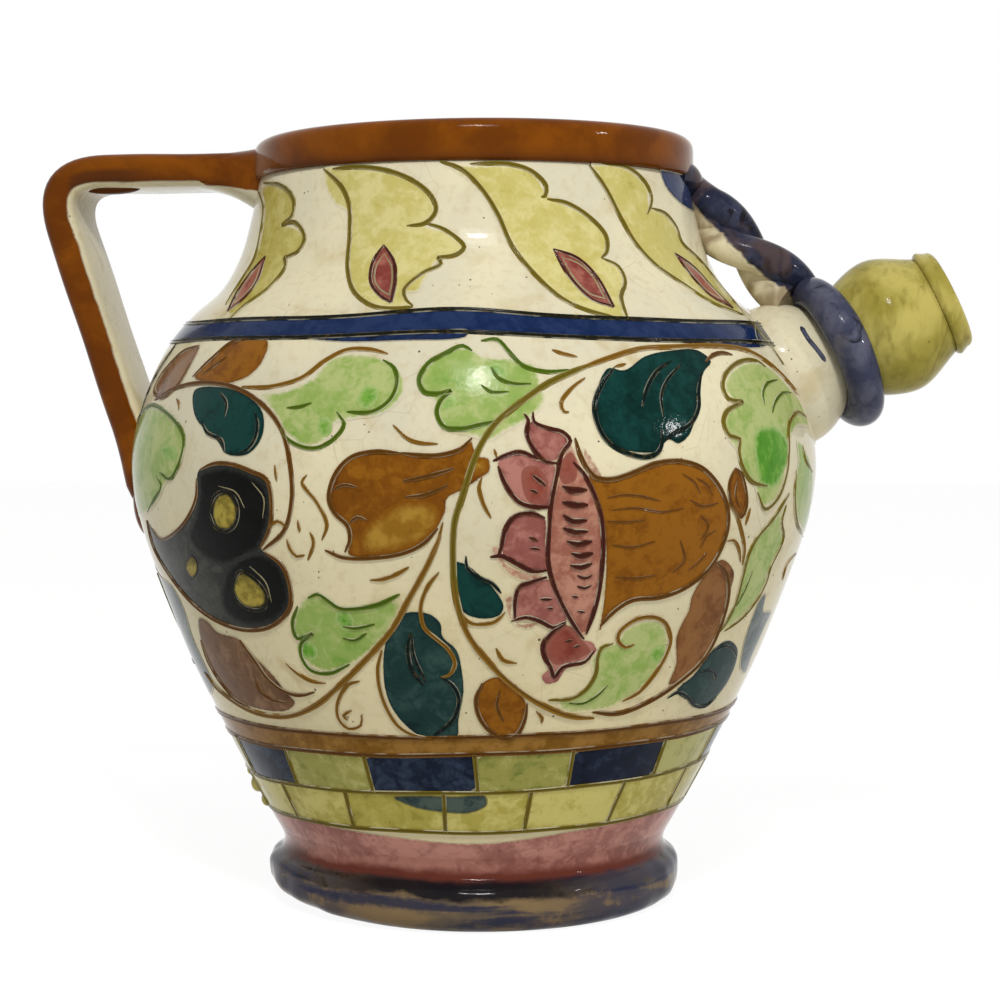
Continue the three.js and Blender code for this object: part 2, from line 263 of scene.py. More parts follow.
# Ink: what fills an incised line, with painted shade down the middle of the groove; the burr beside it gets a
# pale painted highlight
def incisedInk():
    material, recipe = newFinish("incisedInk")
    place = recipe.place()
    across = recipe.attribute("across").math("ABSOLUTE", recipe.attribute("across"))
    ink = recipe.attribute("ink", "Color")
    patchy = recipe.clouds(place, 600, 4)
    colour = recipe.mix(recipe.ramp(patchy, 0.5, 0.75) * 0.2, ink, screenColour(150, 118, 60))
    # painted shade: the ink darkens towards the middle of the groove
    shade = recipe.mix(1.0, ink, (0.42, 0.4, 0.36, 1), "MULTIPLY")
    colour = recipe.mix((1 - recipe.ramp(across, 0.05, 0.45)) * 0.62, colour, shade)
    # painted highlight: a pale cream line along each burr, patchy along its length
    paleLine = recipe.ramp(across, 0.6, 0.82) * recipe.ramp(recipe.clouds(place, 160, 3), 0.4, 0.58)
    colour = recipe.mix(paleLine * recipe.attribute("ink", "Alpha"), colour, creamGround["bright"])
    glazed(recipe, colour, patchy, patchy)
    return material


# Amber of the rim and handle, with bare cream left inside the handle and painted shade under the arm and
# along the rim's foot
amberLook = dict(
    bright=screenColour(124, 66, 2),
    deep=screenColour(101, 50, 1),
    # dark brown for random flow mottles, and for painted shade
    shadeBrown=screenColour(80, 40, 10),
    bare=screenColour(150, 112, 88),
)


def amberGlaze():
    material, recipe = newFinish("amberGlaze")
    place = recipe.place()
    fine = recipe.clouds(place, 500, 4)
    wash = recipe.clouds(recipe.stretch(place, (1, 1, 1.6)), 42, 4, 0.8)
    colour = recipe.mix(recipe.ramp(wash + fine * 0.15, 0.42, 0.7), amberLook["bright"], amberLook["deep"])
    flow = recipe.ramp(recipe.clouds(place, 120, 4, 1.5), 0.56, 0.74)
    colour = recipe.mix(flow * 0.28, colour, amberLook["shadeBrown"])
    # painted shade: darker under the handle's arm and along the foot of the rim band
    colour = recipe.mix(recipe.attribute("shadeBrown") * 0.85, colour, amberLook["shadeBrown"])
    colour = recipe.mix(recipe.attribute("bare") * 0.9, colour, amberLook["bare"])
    inner = recipe.ramp(recipe.attribute("inner") + (wash - 0.5) * 0.2, 0.82, 0.9)
    colour = recipe.mix(inner, colour, creamColour(recipe, place))
    glazed(recipe, colour, fine, fine)
    return material


# Mottled indigo of the rope, whose underside is left cream, and the greyer ring
ropeLook = dict(
    dusk=screenColour(60, 64, 84),
    full=screenColour(32, 36, 54),
    night=screenColour(24, 18, 19),
    ash=screenColour(88, 72, 70),
    ashShare=0.7,
    ashFrom=0.47,
    shadow=screenColour(120, 96, 66),
)
ringLook = dict(
    dusk=screenColour(88, 89, 106),
    full=screenColour(58, 61, 82),
    night=screenColour(28, 30, 40),
    ash=screenColour(122, 116, 114),
    ashShare=0.35,
    ashFrom=0.6,
)


def indigoGlaze(name, look, underCream, night):
    material, recipe = newFinish(name)
    place = recipe.place()
    fine = recipe.clouds(place, 520, 4)
    wash = recipe.clouds(place, 95, 4, 0.8)
    colour = recipe.mix(recipe.ramp(wash + fine * 0.2, 0.42, 0.72), look["dusk"], look["full"])
    dark = recipe.ramp(recipe.clouds(place, 150, 4, 1.2), 0.62 - night, 0.78 - night)
    colour = recipe.mix(dark * 0.9, colour, look["night"])
    ash = recipe.ramp(recipe.clouds(place, 70, 3, 0.5), look["ashFrom"], look["ashFrom"] + 0.16)
    colour = recipe.mix(ash * look["ashShare"], colour, look["ash"])
    if underCream:
        under = recipe.ramp(recipe.attribute("top") * -1 + (wash - 0.5) * 7, underCream, underCream + 1)
        bare = recipe.mix(recipe.ramp(wash, 0.36, 0.62) * 0.75, creamColour(recipe, place), look["shadow"])
        colour = recipe.mix(under, colour, bare)
    glazed(recipe, colour, fine, fine)
    return material


# Streaked olive of the spout's bulb and lip
oliveLook = dict(
    bright=screenColour(184, 171, 92),
    full=screenColour(152, 140, 60),
    streak=screenColour(106, 96, 30),
    speck=screenColour(50, 44, 18),
)


def oliveGlaze():
    material, recipe = newFinish("oliveGlaze")
    place = recipe.place()
    fine = recipe.clouds(place, 560, 4)
    wash = recipe.clouds(place, 60, 3)
    colour = recipe.mix(recipe.ramp(wash, 0.4, 0.66), oliveLook["bright"], oliveLook["full"])
    brushed = recipe.clouds(recipe.stretch(place, (1, 1, 0.35)), 330, 4, 0.6)
    colour = recipe.mix(recipe.ramp(brushed, 0.44, 0.8) * 0.6, colour, oliveLook["streak"])
    dot = 1 - recipe.ramp(recipe.cells(place, 210), 0.05, 0.11)
    here = recipe.ramp(recipe.clouds(place, 120, 2), 0.54, 0.62)
    colour = recipe.mix(dot * here * 0.8, colour, oliveLook["speck"])
    glazed(recipe, colour, fine, fine)
    return material


# Foot: navy and taupe brushed round it, with a dark line along the crease
footLook = dict(
    taupe=screenColour(128, 107, 76),
    smoke=screenColour(96, 84, 70),
    navy=screenColour(32, 40, 66),
    flank=screenColour(56, 57, 76),
    night=screenColour(13, 14, 24),
    wine=screenColour(96, 46, 34),
    rose=screenColour(138, 86, 76),
    blush=screenColour(174, 120, 106),
    edgeHeight=12.0,
    roseHeight=16.0,
)


def footGlaze():
    material, recipe = newFinish("footGlaze")
    place = recipe.place()
    fine = recipe.clouds(place, 500, 4)
    height = recipe.node("ShaderNodeSeparateXYZ", sockets={0: place}, output="Z") / millimetre
    brushed = recipe.clouds(recipe.stretch(place, (0.7, 0.7, 8)), 30, 5, 0.7)
    soiled = recipe.ramp(recipe.clouds(recipe.stretch(place, (1, 1, 3)), 60, 4), 0.4, 0.62)
    colour = recipe.mix(soiled, footLook["taupe"], footLook["smoke"])
    aside = recipe.node("ShaderNodeSeparateXYZ", sockets={0: place}, output="X") / millimetre
    flank = recipe.ramp(aside.math("ABSOLUTE", aside), 18, 46) * recipe.ramp(soiled + fine, 0.2, 0.9)
    colour = recipe.mix(flank * 0.8, colour, footLook["flank"])
    colour = recipe.mix(recipe.ramp(brushed + fine * 0.14, 0.57, 0.74) * 0.85, colour, footLook["navy"])
    ragged = recipe.clouds(recipe.stretch(place, (1, 1, 2)), 170, 4)
    wander = (recipe.clouds(place, 40, 2) - 0.5) * 5 + (ragged - 0.5) * 4
    edge = footLook["edgeHeight"]
    crease = recipe.ramp(height + wander, edge - 3.0, edge - 1.0)
    colour = recipe.mix(crease * (0.95 - flank * 0.75), colour, footLook["night"])
    top = footLook["roseHeight"]
    colour = recipe.mix(recipe.ramp(height + wander * 0.4, top - 2.6, top - 0.8), colour, footLook["wine"])
    blotch = recipe.clouds(place, 250, 5, 0.7) * 0.5 + recipe.clouds(place, 100, 3, 0.5) * 0.5
    rose = recipe.mix(recipe.ramp(blotch, 0.4, 0.6), footLook["blush"], footLook["rose"])
    colour = recipe.mix(recipe.ramp(height + wander * 0.5, top - 0.6, top + 2.4), colour, rose)
    glazed(recipe, colour, fine, fine)
    return material


finishes = {name: paintedGlaze(name) for name in paintedLooks}
finishes.update(
    cream=creamGlaze(),
    ink=incisedInk(),
    amber=amberGlaze(),
    rope=indigoGlaze("ropeGlaze", ropeLook, 2.2, 0.16),
    ring=indigoGlaze("ringGlaze", ringLook, 0, 0.07),
    olive=oliveGlaze(),
    foot=footGlaze(),
)
print("glazes mixed:", len(finishes))


# Meshes: points are millimetres until they become a mesh
def newPiece(name, points, edges=(), faces=()):
    mesh = bpy.data.meshes.new(name)
    mesh.from_pydata([Vector(point) * millimetre for point in points], edges, faces)
    piece = bpy.data.objects.new(name, mesh)
    bpy.context.scene.collection.objects.link(piece)
    return piece


def keepValues(mesh, name, kind, values):
    slot = {"FLOAT": "value", "FLOAT_VECTOR": "vector", "FLOAT_COLOR": "color"}[kind]
    layer = mesh.attributes.new(name, kind, "POINT")
    flat = values if kind == "FLOAT" else [number for value in values for number in value]
    layer.data.foreach_set(slot, flat)


def tidyFaces(piece):  # closes seams and turns every face outwards
    work = bmesh.new()
    work.from_mesh(piece.data)
    bmesh.ops.remove_doubles(work, verts=work.verts, dist=0.00001)
    bmesh.ops.recalc_face_normals(work, faces=work.faces)
    work.to_mesh(piece.data)
    work.free()
    piece.data.shade_smooth()


def grow(piece, tree, sizes):  # runs a tree on a piece and keeps the result as a plain mesh
    modifier = piece.modifiers.new(tree.name, "NODES")
    modifier.node_group = tree
    for item in tree.interface.items_tree:
        if item.in_out == "INPUT" and item.name in sizes:
            modifier[item.identifier] = sizes[item.name]
    graph = bpy.context.evaluated_depsgraph_get()
    grown = bpy.data.meshes.new_from_object(
        piece.evaluated_get(graph), preserve_all_data_layers=True, depsgraph=graph
    )
    piece.modifiers.clear()
    source = piece.data
    piece.data = grown
    grown.name = piece.name
    bpy.data.meshes.remove(source)


def newTree(name, inputs):
    tree = bpy.data.node_groups.new(name, "GeometryNodeTree")
    tree.interface.new_socket("Path", in_out="INPUT", socket_type="NodeSocketGeometry")
    for label, kind in inputs.items():
        tree.interface.new_socket(label, in_out="INPUT", socket_type="NodeSocket" + kind)
    tree.interface.new_socket("Clay", in_out="OUTPUT", socket_type="NodeSocketGeometry")
    recipe = Recipe(tree)
    given = tree.nodes.new("NodeGroupInput")
    return recipe, {socket.name: Flow(recipe, socket) for socket in given.outputs if socket.name}


def endTree(recipe, clay, glaze):
    clay = recipe.node("GeometryNodeSetShadeSmooth", sockets={"Geometry": clay})
    clay = recipe.node("GeometryNodeRealizeInstances", sockets={"Geometry": clay})
    clay = recipe.node("GeometryNodeSetMaterial", sockets={"Geometry": clay, "Material": glaze})
    recipe.node("NodeGroupOutput", sockets={"Clay": clay})
    return recipe.tree


def turnedTree():  # an outline turned on the wheel about the upright axis
    recipe, given = newTree("turnedOnWheel", {"Facets": "Int", "Rings": "Int", "Glaze": "Material"})
    outline = recipe.node("GeometryNodeMeshToCurve", sockets={"Mesh": given["Path"]})
    sheet = recipe.node("GeometryNodeMeshGrid", sockets={
        "Size X": 1.0, "Size Y": 1.0, "Vertices X": given["Facets"] + 1, "Vertices Y": given["Rings"],
    })
    position = recipe.node("GeometryNodeInputPosition")
    share = recipe.node("ShaderNodeSeparateXYZ", sockets={0: position}, output="Y") + 0.5
    turn = (recipe.node("ShaderNodeSeparateXYZ", sockets={0: position}, output="X") + 0.5) * math.tau
    spot = recipe.node(
        "GeometryNodeSampleCurve", {"mode": "FACTOR", "use_all_curves": True},
        {"Curves": outline, "Factor": share}, output="Position",
    )
    radius = recipe.node("ShaderNodeSeparateXYZ", sockets={0: spot}, output="X")
    height = recipe.node("ShaderNodeSeparateXYZ", sockets={0: spot}, output="Z")
    around = recipe.node("ShaderNodeCombineXYZ", sockets={
        "X": radius * turn.math("COSINE", turn), "Y": radius * turn.math("SINE", turn), "Z": height,
    })
    clay = recipe.node("GeometryNodeSetPosition", sockets={"Geometry": sheet, "Position": around})
    return endTree(recipe, clay, given["Glaze"])


def sweptTree(name, inputs, section):  # a section carried along a path, upright on the path's own normals
    recipe, given = newTree(name, dict(inputs, Glaze="Material"))
    path = recipe.node("GeometryNodeMeshToCurve", sockets={"Mesh": given["Path"]})
    normal = recipe.node(
        "GeometryNodeInputNamedAttribute", {"data_type": "FLOAT_VECTOR"}, {"Name": "surfaceNormal"}
    )
    path = recipe.node("GeometryNodeSetCurveNormal", {"mode": "FREE"}, {"Curve": path, "Normal": normal})
    size = recipe.node("GeometryNodeInputNamedAttribute", {"data_type": "FLOAT"}, {"Name": "halfWidth"})
    clay = recipe.node("GeometryNodeCurveToMesh", sockets={
        "Curve": path, "Profile Curve": section(recipe, given), "Scale": size, "Fill Caps": True,
    })
    return endTree(recipe, clay, given["Glaze"])


def grooveSection(recipe, given):  # a scratched groove with a burr on each side
    bar = recipe.node("GeometryNodeMeshLine", sockets={
        "Count": 9, "Start Location": (0, 1, 0), "Offset": (0, -0.25, 0),
    })
    position = recipe.node("GeometryNodeInputPosition")
    across = recipe.node("ShaderNodeSeparateXYZ", sockets={0: position}, output="Y")
    square = across * across
    rise = square * (1 - square * square * square) * given["Burr"] - square ** 8 * given["Tuck"]
    shape = recipe.node("ShaderNodeCombineXYZ", sockets={"X": rise, "Y": across})
    bar = recipe.node("GeometryNodeSetPosition", sockets={"Geometry": bar, "Position": shape})
    bar = recipe.node(
        "GeometryNodeStoreNamedAttribute", {"data_type": "FLOAT", "domain": "POINT"},
        {"Geometry": bar, "Name": "across", "Value": across},
    )
    return recipe.node("GeometryNodeMeshToCurve", sockets={"Mesh": bar})


def strapSection(recipe, given):  # a flat strap; its inner face is marked so that it can stay cream
    block = recipe.node("GeometryNodeCurvePrimitiveQuadrilateral", sockets={
        "Width": given["Thickness"], "Height": given["Width"],
    })
    block = recipe.node("GeometryNodeFilletCurve", {"mode": "POLY"}, {
        "Curve": block, "Count": 6, "Radius": given["Round"],
    })
    position = recipe.node("GeometryNodeInputPosition")
    depth = recipe.node("ShaderNodeSeparateXYZ", sockets={0: position}, output="X")
    inner = 0.5 + depth / given["Thickness"]
    return recipe.node(
        "GeometryNodeStoreNamedAttribute", {"data_type": "FLOAT", "domain": "POINT"},
        {"Geometry": block, "Name": "inner", "Value": inner},
    )


def roundSection(recipe, given):
    sockets = {"Resolution": given["Sides"], "Radius": 1.0}
    return recipe.node("GeometryNodeCurvePrimitiveCircle", sockets=sockets)


turning = turnedTree()
scratching = sweptTree("scratchedLines", {"Burr": "Float", "Tuck": "Float"}, grooveSection)
strapSizes = {"Width": "Float", "Thickness": "Float", "Round": "Float"}
strapping = sweptTree("strapAlongPath", strapSizes, strapSection)
rolling = sweptTree("rolledClay", {"Sides": "Int"}, roundSection)


# Smooth lines through points, with a point given twice as a corner
def smoothPath(points, step, closed=False):
    corners = [i for i in range(1, len(points)) if points[i] == points[i - 1]]
    if corners and not closed:
        pieces = [smoothPath(points[a:b], step) for a, b in zip([0] + corners, corners + [len(points)])]
        return [point for piece in pieces for point in piece]
    if corners and closed:
        first = corners[0]
        return smoothPath(points[first:] + points[:first], step)[:-1]
    spots = [Vector(point) for point in points]
    if closed:
        spots = [spots[-1]] + spots + [spots[0], spots[1]]
    else:
        spots = [2 * spots[0] - spots[1]] + spots + [2 * spots[-1] - spots[-2]]
    path = []
    for before, start, end, after in zip(spots, spots[1:], spots[2:], spots[3:]):
        spans = ((before, start), (start, end), (end, after))
        lead, gap, tail = (max((b - a).length, 0.001) ** 0.5 for a, b in spans)
        leave = ((start - before) / lead - (end - before) / (lead + gap) + (end - start) / gap) * gap
        arrive = ((end - start) / gap - (after - start) / (gap + tail) + (after - end) / tail) * gap
        count = max(2, round((end - start).length / step))
        for i in range(count):
            t = i / count
            path.append(
                (2 * t ** 3 - 3 * t ** 2 + 1) * start + (t ** 3 - 2 * t ** 2 + t) * leave
                + (3 * t ** 2 - 2 * t ** 3) * end + (t ** 3 - t ** 2) * arrive
            )
    return path if closed else path + [spots[-2]]


def between(value, places, results):  # straight-line reading of a rising table
    if value <= places[0]:
        return results[0]
    for low, high, first, second in zip(places, places[1:], results, results[1:]):
        if value <= high:
            return first + (second - first) * (value - low) / (high - low)
    return results[-1]


def bentLine(start, bend, end, t):  # a line that leaves for the bend and arrives from it
    return (1 - t) ** 2 * start + 2 * t * (1 - t) * bend + t ** 2 * end


def halved(holds, low, high, times):  # narrows a span whose low end holds and whose high end doesn't
    for _ in range(times):
        middle = (low + high) / 2
        if holds(middle):
            low = middle
        else:
            high = middle
    return low, high


# The thrown body's outline, read off the frame on the side away from the spout
reading = dict(slack=0.00001, digits=5, clear=0.0002, step=1.2)  # metres, and the step in millimetres


def frameOutline(node):
    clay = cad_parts[node]
    levels = {}
    for vertex in clay.data.vertices:
        if vertex.co.x < 0 and abs(vertex.co.y) < reading["slack"]:
            level = round(vertex.co.z, reading["digits"])
            levels[level] = max(levels.get(level, 0), -vertex.co.x)
    outline = []
    for level, radius in sorted(levels.items()):
        start = Vector((-radius - reading["clear"], 0, level))
        if not clay.ray_cast(start, Vector((-1, 0, 0)))[0]:
            outline.append((radius / millimetre, level / millimetre))
    return outline


outsideLine = [tuple(point) for point in smoothPath(frameOutline("body"), reading["step"])]
outsideRadii = [radius for radius, height in outsideLine]
outsideHeights = [height for radius, height in outsideLine]
outsideArcs = [0.0]
for first, second in zip(outsideLine, outsideLine[1:]):
    outsideArcs.append(outsideArcs[-1] + (Vector(second) - Vector(first)).length)
throatHeight = outsideHeights[-1]
print("body outline:", len(outsideLine), "points up to", round(throatHeight, 1), "mm")


def bodyRadius(height):
    return between(height, outsideHeights, outsideRadii)


def bodySpot(turn, height, lift=0.0):  # turn in radians from the front, towards the spout
    slope = bodyRadius(height + 0.5) - bodyRadius(height - 0.5)
    normal = Vector((math.sin(turn), -math.cos(turn), -slope)).normalized()
    radius = bodyRadius(height)
    return Vector((radius * math.sin(turn), -radius * math.cos(turn), height)) + normal * lift, normal


# The camera, which also lays the ornament's picture points on the body
camera = dict(
    azimuth=6, distance=669.4, height=146.2, sensor=36, nearClip=0.01,
    focalPixels=2270, axisPixel=(474, 393), imageSize=1000,
)
viewTurn = math.radians(camera["azimuth"])
viewRight = Vector((math.cos(viewTurn), math.sin(viewTurn), 0))
viewAhead = Vector((-math.sin(viewTurn), math.cos(viewTurn), 0))
eye = Vector((0, 0, camera["height"])) - viewAhead * camera["distance"]


def pixelRay(pixel):  # from the eye through a picture point
    across = (pixel[0] - camera["axisPixel"][0]) / camera["focalPixels"]
    rise = (camera["axisPixel"][1] - pixel[1]) / camera["focalPixels"]
    return viewAhead + viewRight * across + Vector((0, 0, rise))


search = dict(start=555.0, end=760, step=4.0, halvings=14)  # millimetres from the eye


def onBody(pixel):  # turn and height of a picture point on the body, or of the nearest place beside it
    ray = pixelRay(pixel)

    def clearance(reach):
        spot = eye + ray * reach
        return math.hypot(spot.x, spot.y) - bodyRadius(spot.z)

    def outside(reach):
        return clearance(reach) > 0

    reach = best = search["start"]
    while reach < search["end"] and outside(reach):
        if clearance(reach) < clearance(best):
            best = reach
        reach += search["step"]
    if reach < search["end"]:
        best = halved(outside, reach - search["step"], reach, search["halvings"])[1]
    spot = eye + ray * best
    return math.atan2(spot.x, -spot.y), min(max(spot.z, 0), throatHeight)


def turnedPiece(name, outline, facets, rings, glaze, closed=True):
    edges = [(i, i + 1) for i in range(len(outline) - 1)]
    if closed:
        edges.append((len(outline) - 1, 0))
    piece = newPiece(name, [(radius, 0, height) for radius, height in outline], edges)
    grow(piece, turning, {"Facets": facets, "Rings": rings, "Glaze": finishes[glaze]})
    tidyFaces(piece)
    return piece


def roundCorner(radius, height, size, start, end, steps=6):
    turns = [math.radians(start + (end - start) * i / steps) for i in range(steps + 1)]
    return [(radius + size * math.cos(turn), height + size * math.sin(turn)) for turn in turns]


def settle(piece, slot, *nodes):
    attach(piece, "root")
    if nodes:
        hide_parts(*nodes)


# Thrown pieces: body with its inside, foot and rim
thrown = dict(wall=6.5, floor=9, floorRound=4, facets=192, rings=260)
insideLine = []
for radius, height in reversed(outsideLine):
    normal = bodySpot(0, height)[1]
    inner = (radius + normal.y * thrown["wall"], height - normal.z * thrown["wall"])
    if thrown["floor"] + thrown["floorRound"] < inner[1] < throatHeight - thrown["wall"]:
        insideLine.append(inner)
floorSpot = (insideLine[-1][0] - thrown["floorRound"], thrown["floor"])
bodyOutline = [(0, 0)] + outsideLine + [(outsideRadii[-1] - thrown["wall"], throatHeight)]
bodyOutline += insideLine + [floorSpot, (0, thrown["floor"])]
body = turnedPiece("thrown_body", bodyOutline, thrown["facets"], thrown["rings"], "cream", closed=False)
settle(body, "cream_glaze", "body")

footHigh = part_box("foot_ring")[1] / millimetre
foot = dict(
    bore=40, base=0.02, round=6.0, top=3.6, topDrop=0.4, slope=62, facets=144, rings=70,
    rise=7.4, skin=0.12, hollow=1.4, steps=8, tuckIn=2, tuckDown=0.6, innerDrop=3,  # the blend up the body
    worn=2.4, wornTurn=-72, wornSpan=42, lump=0.7, lumpSize=7, lumpFrom=1,
)
footRadius = footHigh.x
footOutline = [(foot["bore"], foot["base"])]
footOutline += roundCorner(footRadius - foot["round"], foot["round"], foot["round"], -90, 0)
shoulderHeight = footHigh.z - foot["top"] - foot["topDrop"]
footOutline += roundCorner(footRadius - foot["top"], shoulderHeight, foot["top"], 0, foot["slope"])
blendHeight = footHigh.z + foot["rise"]
blendFoot = Vector(footOutline[-1])
blendTop = Vector((bodyRadius(blendHeight) + foot["skin"], blendHeight))
blendBend = Vector((bodyRadius(footHigh.z) + foot["hollow"], footHigh.z + foot["hollow"]))
for i in range(1, foot["steps"] + 1):
    footOutline.append(tuple(bentLine(blendFoot, blendBend, blendTop, i / foot["steps"])))
footOutline.append((blendTop.x - foot["tuckIn"], blendHeight - foot["tuckDown"]))
footOutline.append((foot["bore"], footHigh.z - foot["innerDrop"]))
footRing = turnedPiece("foot_band", footOutline, foot["facets"], foot["rings"], "foot")
for vertex in footRing.data.vertices:  # its left side is worn away underneath
    turn = math.degrees(math.atan2(vertex.co.x, -vertex.co.y))
    wear = math.exp(-((turn - foot["wornTurn"]) / foot["wornSpan"]) ** 2)
    share = max(0, 1 - vertex.co.z / millimetre / footHigh.z)
    vertex.co.z += foot["worn"] * wear * share * millimetre
    if foot["lumpFrom"] * millimetre < vertex.co.z < footHigh.z * millimetre:
        bulge = noise.noise(vertex.co / millimetre / foot["lumpSize"]) * foot["lump"]
        vertex.co += Vector((vertex.co.x, vertex.co.y, 0)).normalized() * bulge * millimetre
settle(footRing, "slate_glaze", "foot_ring")

rimLow, rimHigh = (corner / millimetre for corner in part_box("rim_collar"))
rim = dict(
    wall=7.9, round=3.6, foot=1.2, footLap=0.3, footTurn=-80, inset=0.4, sink=1.5, tilt=0.008,
    bare=((-67, 9, 1.0), (86, 10, 0.8)),  # turn, spread and share of the bare clay by the handle and the rope
    shadeBand=0.22, shadeShare=0.7, facets=144, rings=48,
)
rimRadius = rimHigh.x
mouthRadius = rimRadius - rim["wall"]
rimOutline = [(mouthRadius + rim["inset"], rimLow.z - rim["sink"])]
rimFoot = rimLow.z + rim["foot"] - rim["footLap"]
rimOutline += roundCorner(rimRadius - rim["foot"], rimFoot, rim["foot"], rim["footTurn"], 0)
rimOutline += roundCorner(rimRadius - rim["round"], rimHigh.z - rim["round"], rim["round"], 0, 90)
rimOutline += roundCorner(mouthRadius + rim["round"], rimHigh.z - rim["round"], rim["round"], 90, 180)
rimBand = turnedPiece("rim_band", rimOutline, rim["facets"], rim["rings"], "amber")
for vertex in rimBand.data.vertices:
    share = (vertex.co.z / millimetre - rimLow.z) / (rimHigh.z - rimLow.z)
    vertex.co.z += vertex.co.x * rim["tilt"] * max(share, 0)


def rimShade(spot):  # how bare the clay is, and the painted shade along the foot of the band
    turn = math.degrees(math.atan2(spot.x, -spot.y))
    bare = sum(math.exp(-((turn - at) / spread) ** 2) * share for at, spread, share in rim["bare"])
    low = (spot.z - rimLow.z) / (rimHigh.z - rimLow.z)
    return bare, math.exp(-(low / rim["shadeBand"]) ** 2) * rim["shadeShare"]


rimShades = [rimShade(vertex.co / millimetre) for vertex in rimBand.data.vertices]
keepValues(rimBand.data, "bare", "FLOAT", [bare for bare, shadeBrown in rimShades])
keepValues(rimBand.data, "shadeBrown", "FLOAT", [shadeBrown for bare, shadeBrown in rimShades])
settle(rimBand, "amber_glaze", "rim_collar")
print("thrown pieces: body, foot, rim")


def sweptPiece(name, path, normals, halfWidths, tree, sizes, closed=False):
    edges = [(i, i + 1) for i in range(len(path) - 1)]
    if closed:
        edges.append((len(path) - 1, 0))
    piece = newPiece(name, path, edges)
    keepValues(piece.data, "surfaceNormal", "FLOAT_VECTOR", normals)
    keepValues(piece.data, "halfWidth", "FLOAT", halfWidths)
    grow(piece, tree, sizes)
    tidyFaces(piece)
    return piece


def eggPiece(name, centre, sizes, glaze):  # a smear of clay worked over a joint
    work = bmesh.new()
    bmesh.ops.create_uvsphere(work, u_segments=40, v_segments=24, radius=1)
    mesh = bpy.data.meshes.new(name)
    work.to_mesh(mesh)
    work.free()
    scale = Matrix.Diagonal((*(size * millimetre for size in sizes), 1))
    mesh.transform(Matrix.Translation(Vector(centre) * millimetre) @ scale)
    mesh.materials.append(finishes[glaze])
    mesh.shade_smooth()
    piece = bpy.data.objects.new(name, mesh)
    bpy.context.scene.collection.objects.link(piece)
    return piece


# Strap handle: level arm, one bend, straight limb
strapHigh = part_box("strap_handle")[1] / millimetre
handle = dict(
    width=30, thickness=9.8, round=4.2, reach=126.9, bend=19, startDepth=4, footHeight=112.5, footDepth=5,
    armSteps=20, bendSteps=16, limbSteps=30, flare=1.32, swell=26,
    swellPower=1.5, tail=9, tailShare=0.62, tailPower=0.6, wobble=0.015, wobbleBeat=0.5,
)
armHeight = strapHigh.z - handle["thickness"] / 2
handleStart = Vector((-mouthRadius - handle["startDepth"], 0, armHeight))
handleCorner = Vector((-handle["reach"], 0, armHeight))
handleEnd = Vector((handle["footDepth"] - bodyRadius(handle["footHeight"]), 0, handle["footHeight"]))
bendStart = handleCorner + (handleStart - handleCorner).normalized() * handle["bend"]
bendEnd = handleCorner + (handleEnd - handleCorner).normalized() * handle["bend"]
handlePath = [handleStart.lerp(bendStart, i / handle["armSteps"]) for i in range(handle["armSteps"])]
for i in range(handle["bendSteps"]):
    handlePath.append(bentLine(bendStart, handleCorner, bendEnd, i / handle["bendSteps"]))
handlePath += [bendEnd.lerp(handleEnd, i / handle["limbSteps"]) for i in range(handle["limbSteps"] + 1)]
handleNormals, handleScales = [], []
for i, spot in enumerate(handlePath):
    along = handlePath[min(i + 1, len(handlePath) - 1)] - handlePath[max(i - 1, 0)]
    handleNormals.append(Vector((0, 1, 0)).cross(along).normalized() * -1)
    near = max(0, 1 - (spot - handleEnd).length / handle["swell"]) ** handle["swellPower"]
    tail = min(1, (spot - handleEnd).length / handle["tail"]) ** handle["tailPower"]
    girth = 1 + (handle["flare"] - 1) * near + handle["wobble"] * math.sin(i * handle["wobbleBeat"])
    handleScales.append(girth * (handle["tailShare"] + (1 - handle["tailShare"]) * tail))
strap = sweptPiece(
    "strap_handle_glaze", handlePath, handleNormals, handleScales, strapping,
    {
        "Width": handle["width"] * millimetre, "Thickness": handle["thickness"] * millimetre,
        "Round": handle["round"] * millimetre, "Glaze": finishes["amber"],
    },
)
armShade = dict(inner=0.52, above=200, start=88, full=102, end=118)  # painted shade under the arm, growing towards the bend


def strapShade(spot, inner):
    under = inner > armShade["inner"] and spot.z > armShade["above"] * millimetre
    share = (-spot.x / millimetre - armShade["start"]) / (armShade["full"] - armShade["start"])
    return min(1, max(0, share)) if under and spot.x > -armShade["end"] * millimetre else 0


innerShares = [item.value for item in strap.data.attributes["inner"].data]
keepValues(strap.data, "shadeBrown", "FLOAT", [
    strapShade(vertex.co, inner) for vertex, inner in zip(strap.data.vertices, innerShares)
])
settle(strap, "amber_glaze", "strap_handle")


def loftPiece(name, rings, glaze):
    count = len(rings[0])
    faces = [tuple(range(count)), tuple((len(rings) - 1) * count + i for i in range(count))]
    for level in range(len(rings) - 1):
        for i in range(count):
            low, high = level * count, (level + 1) * count
            faces.append((low + i, low + (i + 1) % count, high + (i + 1) % count, high + i))
    piece = newPiece(name, [spot for ring in rings for spot in ring], faces=faces)
    piece.data.materials.append(finishes[glaze])
    tidyFaces(piece)
    return piece


